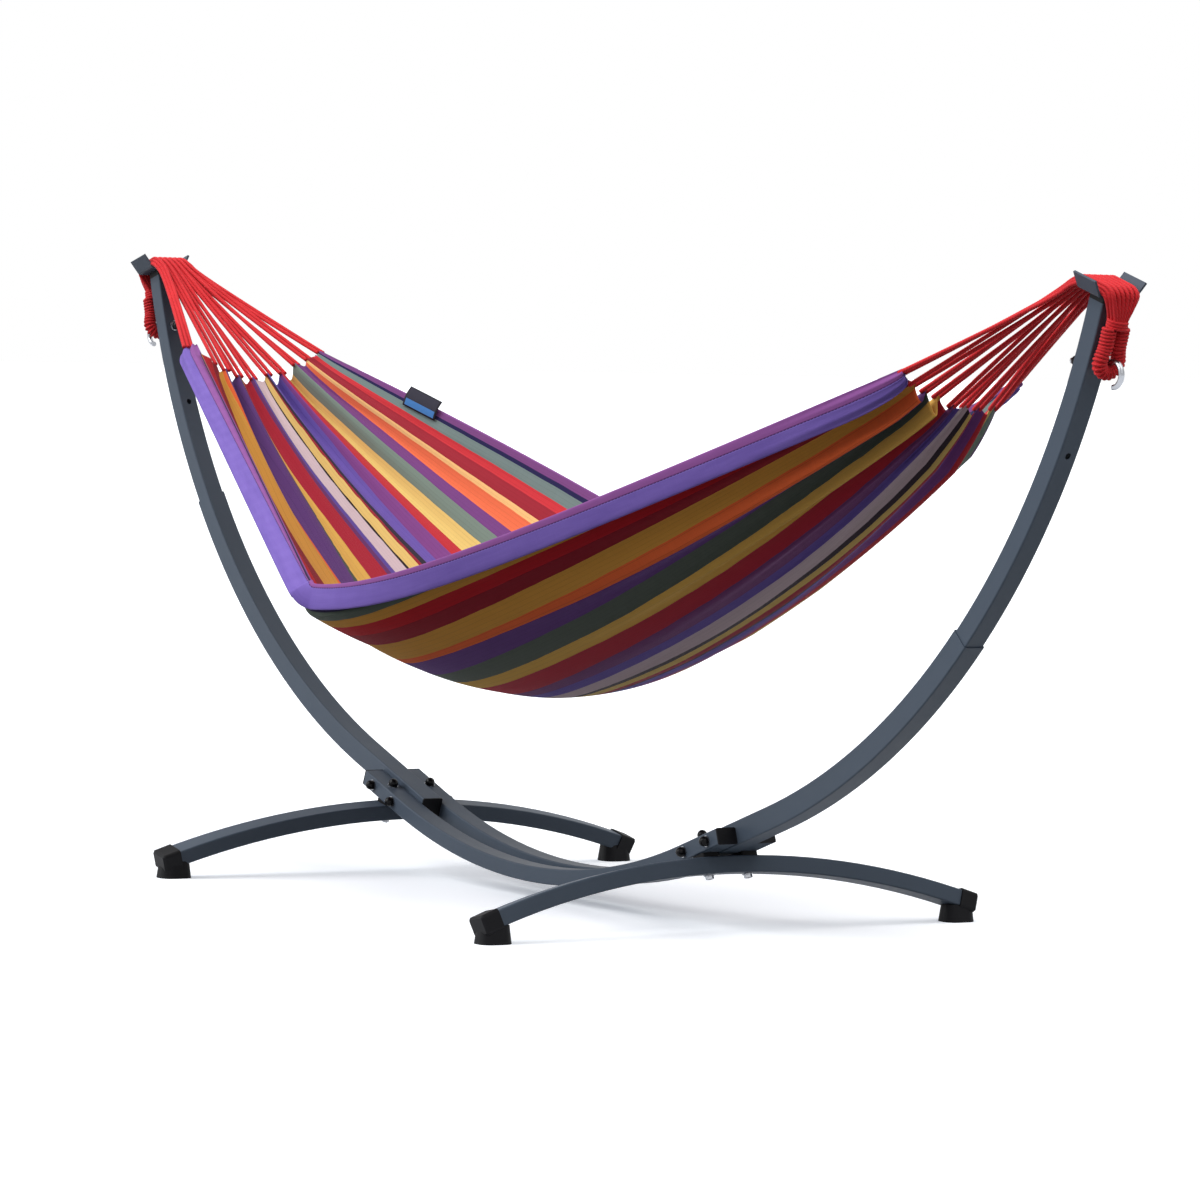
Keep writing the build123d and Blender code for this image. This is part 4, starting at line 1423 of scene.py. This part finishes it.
@dataclass
class CordFan:
    """Cords of one end, from the wound neck over the saddle to the cloth. Points are for the right end.

    Attributes:
        cloth: cloth the cords hold.
        side: end of the hammock.
        count: number of cords.
        section: section of a cord.
        layers: number of layers on the saddle.
        layer_base: height of the lowest layer over the middle of the band.
        layer_step: height of one layer.
        inner_half_width: half the width where the cords leave the saddle for the cloth.
        band_half_width: half the width of the band on the saddle.
        shoulder_half_width: half the width where the band leaves the saddle.
        neck_half_width: half the width of the neck.
        neck_depth_step: depth of one layer in the neck.
        pair_gap: distance of two cords that go into the cloth together.
        seam_depth: reach of a cord into the cloth.
        hem_step: distance of the outer cords from the rim, out on the hem.
        tip_cords: number of cords that end at the tip of the left front hem.
        tip_share: share of that tip's reach where they end.
        tip_gap: their distance as a share of the gap of a pair.
        tip_middle: number of the cord, counted from zero, that would end on the tip's middle.
        ring_step: distance between rings of the mesh.
        outer_lift: growth of the layers over the outer edge of the saddle.
        inner_lift: growth of the layers over its inner edge.
        tail_growth: growth of the width where the fan opens.
        tail: point where the fan opens.
        inner: inner edge of the saddle.
        deck: middle of the saddle.
        outer: outer edge of the saddle.
        shoulder: point where the band leaves the saddle.
        neck: upper end of the neck.
        neck_end: lower end of the neck.
        fan: way of the fan from the saddle.
        blend_start: not used.
        blend_end: not used.
    """

    cloth: HungCloth
    side: Side
    count: int = 20
    section: RopeSection = RopeSection(0.0040)
    layers: int = 3
    layer_base: float = -0.003
    layer_step: float = 0.0052
    inner_half_width: float = 0.038
    band_half_width: float = 0.033
    shoulder_half_width: float = 0.024
    neck_half_width: float = 0.0115
    neck_depth_step: float = 0.0075
    pair_gap: float = 0.0125
    seam_depth: float = 0.006
    hem_step: float = 0.018
    tip_cords: int = 3
    tip_share: float = 0.9
    tip_gap: float = 0.7
    tip_middle: float = 0.7
    ring_step: float = 0.0026
    outer_lift: float = 1.3
    inner_lift: float = 0.55
    tail_growth: float = 1.05
    tail: Point = (1.4550, 0.0, 1.12270)
    inner: Point = (1.51399, 0.0, 1.15652)
    deck: Point = (1.55020, 0.0, 1.14566)
    outer: Point = (1.58640, 0.0, 1.13480)
    shoulder: Point = (1.58449, 0.0, 1.11398)
    neck: Point = (1.57759, 0.0, 1.09099)
    neck_end: Point = (1.57471, 0.0, 1.08141)
    fan: Point = (-0.867489, 0.0, -0.497457)
    blend_start: Point = (1.5200, 0.0, 1.15000)
    blend_end: Point = (1.4400, 0.0, 1.10500)

    def cloth_end(self, index: int) -> np.ndarray:
        """Point where a cord goes into the end of the cloth, or on the left into the tip of the front hem.

        Args:
            index: number of the cord from the front.

        Returns:
            The point.
        """
        if index < self.tip_cords and self.side is Side.LEFT:
            tip = self.cloth.edge(Hem.FRONT, np.array([-1.0 - RolledHem.left_tip * self.tip_share]))[0]
            abreast = sideways(self.pair_gap * self.tip_gap * (index - self.tip_middle))
            return tip + np.array(RolledHem.splay) * self.hem_step + abreast
        reach = self.cloth.cord_reach
        share = -reach + index // 2 * (2.0 * reach / (self.count / 2 - 1))
        u = np.array([self.side.value * (1.0 - self.seam_depth / self.cloth.flat[1] * 2.0)])
        edge = self.cloth.surface(u, np.array([share]))[0]
        return edge + sideways(self.pair_gap * (index % 2 - 0.5))

    def route(self, index: int) -> List[np.ndarray]:
        """Control points of a cord from the neck to the cloth, in three layers side by side.

        Args:
            index: number of the cord from the front.

        Returns:
            Control points.
        """
        share = 2.0 * index / (self.count - 1) - 1.0
        layer = self.layer_base + self.layer_step * (index % self.layers)
        axis, outward, fan = (mirrored(way, self.side) for way in (POST_AXIS, POST_OUTWARD, self.fan))
        lift = np.array((-self.side.value * abs(fan[2]), 0.0, abs(fan[0])))
        deep = outward * self.neck_depth_step * (index % self.layers - 1)
        widths = (self.band_half_width, self.inner_half_width, self.shoulder_half_width, self.neck_half_width)
        wide, broad, slant, narrow = (sideways(share * width) for width in widths)
        steps = (
            (self.neck_end, narrow + deep),
            (self.neck, narrow + deep),
            (self.shoulder, slant + outward * layer),
            (self.outer, wide + unit(axis + outward) * layer * self.outer_lift),
            (self.deck, wide + axis * layer),
            (self.inner, broad + (axis + lift) * layer * self.inner_lift),
            (self.tail, broad * self.tail_growth + lift * layer),
        )
        return [*(mirrored(point, self.side) + move for point, move in steps), self.cloth_end(index)]

    def cord(self, index: int, material: bpy.types.Material) -> bpy.types.Object:
        """Build one cord.

        Args:
            index: number of the cord from the front.
            material: finish of the cord.

        Returns:
            The cord object.
        """
        name = f"cord_{self.side.label}_{index + 1:02d}"
        step = self.ring_step * 1.0
        path = read_route(f"{name}_route", self.route(index), step)
        obj = self.section.sweep(path, np.array(ACROSS)).build(name, material)
        if index == 0:
            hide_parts(f"clew_cords_{self.side.label}", f"saddle_cords_{self.side.label}")
        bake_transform(obj)
        return obj

    def build(self, finishes: Finishes) -> List[bpy.types.Object]:
        """Build all cords of the end."""
        material = finishes.by_slot[Slot.RED_CORD]
        return [self.cord(index, material) for index in range(self.count)]


@dataclass
class WoundEye:
    """Wound loop on the hook, with the whipping above it. Points are for the right end.

    Attributes:
        side: end of the hammock.
        bottom: lowest point of its centre line.
        half_spacing: half the distance of its legs at the bend.
        top_spacing: half the distance of its legs at the top.
        top: height of the legs.
        core: section of the core.
        wire: section of the winding.
        wind_radius: radius of the winding's centre line.
        wind_pitch: step of one turn.
        whip: section of the whipping.
        whip_turns: turns of the whipping.
        whip_height: height of the whipping.
        whip_half_width: half the width of the whipping.
        whip_half_depth: half the depth of the whipping.
        whip_gap: gap between the legs and the whipping.
        closing: share of the legs over which they close in.
        leg_points: points of a leg and of the bend.
        wind_points: points of one turn of the winding.
        whip_points: points of one turn of the whipping.
    """

    side: Side
    bottom: Point = (1.5523, 0.0, 1.0067)
    half_spacing: float = 0.018
    top_spacing: float = 0.0132
    top: float = 0.074
    core: RopeSection = RopeSection(0.0098, 16, 3, 0.04, 0.05)
    wire: RopeSection = RopeSection(0.0029, 8, 3, 0.08, 0.02)
    wind_radius: float = 0.0101
    wind_pitch: float = 0.0058
    whip: RopeSection = RopeSection(0.0031, 10)
    whip_turns: int = 3
    whip_height: float = 0.014
    whip_half_width: float = 0.0165
    whip_half_depth: float = 0.0132
    whip_gap: float = 0.001
    closing: float = 0.45
    leg_points: int = 60
    wind_points: int = 18
    whip_points: int = 64

    def centre_line(self) -> np.ndarray:
        """Two legs that close in towards the top, joined by a half circle."""
        leg = np.linspace(self.top, self.half_spacing, self.leg_points)
        turn = np.linspace(math.pi, 2.0 * math.pi, self.leg_points)
        half = self.half_spacing
        rise = np.clip((leg[:-1] - half) / (self.top - half) / self.closing, 0.0, 1.0)
        apart = half + (self.top_spacing - half) * eased(rise)
        across = np.concatenate([-apart, half * np.cos(turn), apart[::-1]])
        up = np.concatenate([leg[:-1], half + half * np.sin(turn), leg[::-1][1:]])
        axis = mirrored(POST_AXIS, self.side)
        return mirrored(self.bottom, self.side) + spread(across, ACROSS) + spread(up, axis)

    def winding(self) -> Tuple[np.ndarray, np.ndarray]:
        """Helix round the centre line.

        Returns:
            Points of the helix and the outward direction at each.
        """
        centre = self.centre_line()
        length = run_length(centre)
        along = np.linspace(0.0, length[-1], int(length[-1] / self.wind_pitch * self.wind_points))
        path = read_at(along, length, centre)
        first, second = cross_frames(path, mirrored(POST_OUTWARD, self.side))
        turn = 2.0 * math.pi * along / self.wind_pitch
        outward = first * np.cos(turn)[:, None] + second * np.sin(turn)[:, None]
        return path + self.wind_radius * outward, outward

    def whipping(self) -> np.ndarray:
        """Flat helix of a few turns round the neck."""
        turn = np.linspace(0.0, 2.0 * math.pi * self.whip_turns, self.whip_points * self.whip_turns)
        rise = self.top + self.whip_gap + self.whip_height * turn / turn[-1]
        axis, outward = mirrored(POST_AXIS, self.side), mirrored(POST_OUTWARD, self.side)
        return (
            mirrored(self.bottom, self.side)
            + spread(rise, axis)
            + spread(self.whip_half_width * np.cos(turn), ACROSS)
            + spread(self.whip_half_depth * np.sin(turn), outward)
        )

    def build(self, finishes: Finishes) -> List[bpy.types.Object]:
        """Build core, winding and whipping and dress them.

        Args:
            finishes: materials.

        Returns:
            The three objects.
        """
        material, label = finishes.by_slot[Slot.RED_CORD], self.side.label
        outward = mirrored(POST_OUTWARD, self.side)
        core = self.core.sweep(self.centre_line(), outward).build(f"eye_core_{label}", material)
        helix, away = self.winding()
        winding = self.wire.sweep(helix, away).build(f"eye_winding_{label}", material)
        axis = mirrored(POST_AXIS, self.side)
        whipping = self.whip.sweep(self.whipping(), axis).build(f"eye_whip_{label}", material)
        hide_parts(f"eye_rope_{label}")
        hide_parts(f"eye_whipping_{label}")
        pieces = [core, winding, whipping]
        for piece in pieces:
            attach(piece, "stand")
        return pieces


@dataclass(frozen=True)
class SoftLamp:
    """Broad lamp far away.

    Attributes:
        name: name of the lamp.
        towards: direction from the object to the lamp.
        strength: light on a face turned to it.
        spread: width of the lamp in degrees.
        colour: linear colour of its light.
    """

    name: str
    towards: Point
    strength: float
    spread: float
    colour: Colour

    def build(self) -> bpy.types.Object:
        """Hang the lamp."""
        data = bpy.data.lights.new(self.name, "SUN")
        data.energy = self.strength * math.pi
        data.angle = math.radians(self.spread)
        data.color = self.colour
        obj = put(self.name, data)
        back = unit(np.array(self.towards, float))
        side = unit(np.cross(np.array((0.0, 1.0, 0.01)), back))
        obj.matrix_world = as_matrix(side, np.cross(back, side), back, back * LAMP_DISTANCE)
        return obj


def as_matrix(right: np.ndarray, up: np.ndarray, back: np.ndarray, place: np.ndarray) -> Matrix:
    """Placement from three axes and an origin."""
    rows = np.eye(4)
    rows[:3] = np.stack([right, up, back, place], -1)
    return Matrix(rows.tolist())


@dataclass
class Studio:
    """Camera, floor and light of the picture.

    Attributes:
        azimuth: turn of the camera round the part, in degrees.
        elevation: height of the camera, in degrees.
        roll: tilt of the camera, in degrees.
        distance: distance of the camera.
        centre: point the camera is set by.
        shift: move of the aim to the right and up.
        focal_pixels: focal length in pixels.
        image_pixels: width of the picture in pixels.
        sensor: width of the sensor in millimetres.
        ambient: light of the surround.
        floor_reach: half the width of the floor.
        lamps: lamps of the studio.
    """

    azimuth: float = 56.3374
    elevation: float = 3.0913
    roll: float = 1.582
    distance: float = 10.2173
    centre: Point = (0.0, 0.0, 0.604)
    shift: Tuple[float, float] = (0.0612, -0.0539)
    focal_pixels: float = 5580.29
    image_pixels: float = 1200.0
    sensor: float = 36.0
    ambient: float = 0.2
    floor_reach: float = 60.0
    lamps: Tuple[SoftLamp, ...] = (
        SoftLamp("top", (0.25, 0.1, 1.0), 0.62, 70.0, (1.0, 0.99, 0.97)),
        SoftLamp("front", (-0.34, -0.74, 0.6), 0.85, 50.0, (0.96, 0.98, 1.0)),
        SoftLamp("right", (0.8, -0.2, 0.6), 0.12, 50.0, (1.0, 1.0, 1.0)),
    )

    def camera(self) -> bpy.types.Object:
        """Place the camera."""
        azimuth, elevation, roll = (math.radians(v) for v in (self.azimuth, self.elevation, self.roll))
        flat = math.cos(elevation)
        back = np.array((math.sin(azimuth) * flat, -math.cos(azimuth) * flat, math.sin(elevation)))
        level = np.array((math.cos(azimuth), math.sin(azimuth), 0.0))
        upright = np.cross(back, level)
        right = math.cos(roll) * level + math.sin(roll) * upright
        up = -math.sin(roll) * level + math.cos(roll) * upright
        target = np.array(self.centre) + self.shift[0] * right + self.shift[1] * up
        data = bpy.data.cameras.new("camera")
        data.sensor_fit = "HORIZONTAL"
        data.sensor_width = self.sensor
        data.lens = self.focal_pixels * self.sensor / self.image_pixels
        data.clip_end = CLIP_END
        obj = put("camera", data)
        obj.matrix_world = as_matrix(right, up, back, target + self.distance * back)
        bpy.context.scene.camera = obj
        return obj

    def floor(self) -> bpy.types.Object:
        """Lay a plain pale floor."""
        reach = self.floor_reach
        corners = [(-reach, -reach, 0.0), (reach, -reach, 0.0), (reach, reach, 0.0), (-reach, reach, 0.0)]
        mesh = bpy.data.meshes.new("floor")
        mesh.from_pydata(corners, [], [(0, 1, 2, 3)])
        mesh.materials.append(PaleFloor("pale_floor").material())
        obj = put("floor", mesh)
        obj.visible_diffuse = False
        return obj

    def surround(self) -> None:
        """Set a surround that looks white and lights softly."""
        world = bpy.data.worlds.new("surround")
        graph = Graph(world)
        rays = graph.node("ShaderNodeLightPath")
        shown = (rays[CAMERA_RAY] + rays[GLOSSY_RAY] + rays[TRANSMISSION_RAY]).clipped()
        white = {"Color": (1.0, 1.0, 1.0), "Strength": 1.0}
        soft = {"Color": (0.94, 0.97, 1.0), "Strength": self.ambient}
        seen = graph.node("ShaderNodeBackground", inputs=white)[0]
        light = graph.node("ShaderNodeBackground", inputs=soft)[0]
        both = graph.node("ShaderNodeMixShader", inputs={0: shown, 1: light, 2: seen})[0]
        graph.node("ShaderNodeOutputWorld", inputs={0: both})
        bpy.context.scene.world = world

    def build(self) -> None:
        """Set camera, floor, surround and lamps."""
        self.camera()
        self.floor()
        self.surround()
        for lamp in self.lamps:
            lamp.build()
        bpy.context.scene.view_settings.view_transform = "Standard"
        LOG.info("studio with %d lamps", len(self.lamps))


def node_slots(record: Dict[str, object]) -> Dict[str, str]:
    """Slot name of every node of the record."""
    return {item["node"]: item["material_slot"] for item in record["subparts"]}


def main() -> None:
    """Load the model and build the pieces in order."""
    logging.basicConfig(level=logging.INFO, format="%(name)s: %(message)s")
    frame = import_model()
    Studio().build()
    finishes = Finishes()
    cloth = HungCloth()
    for side in Side:
        CordFan(cloth, side).build(finishes)
        WoundEye(side).build(finishes)
    sheet = cloth.build(finishes)
    hems = [RolledHem(cloth, hem).build(finishes) for hem in Hem]
    tag = SewnTag(cloth).build(finishes)
    finishes.dress(frame["nodes"], node_slots(frame["record"]))


if __name__ == "__main__":
    main()
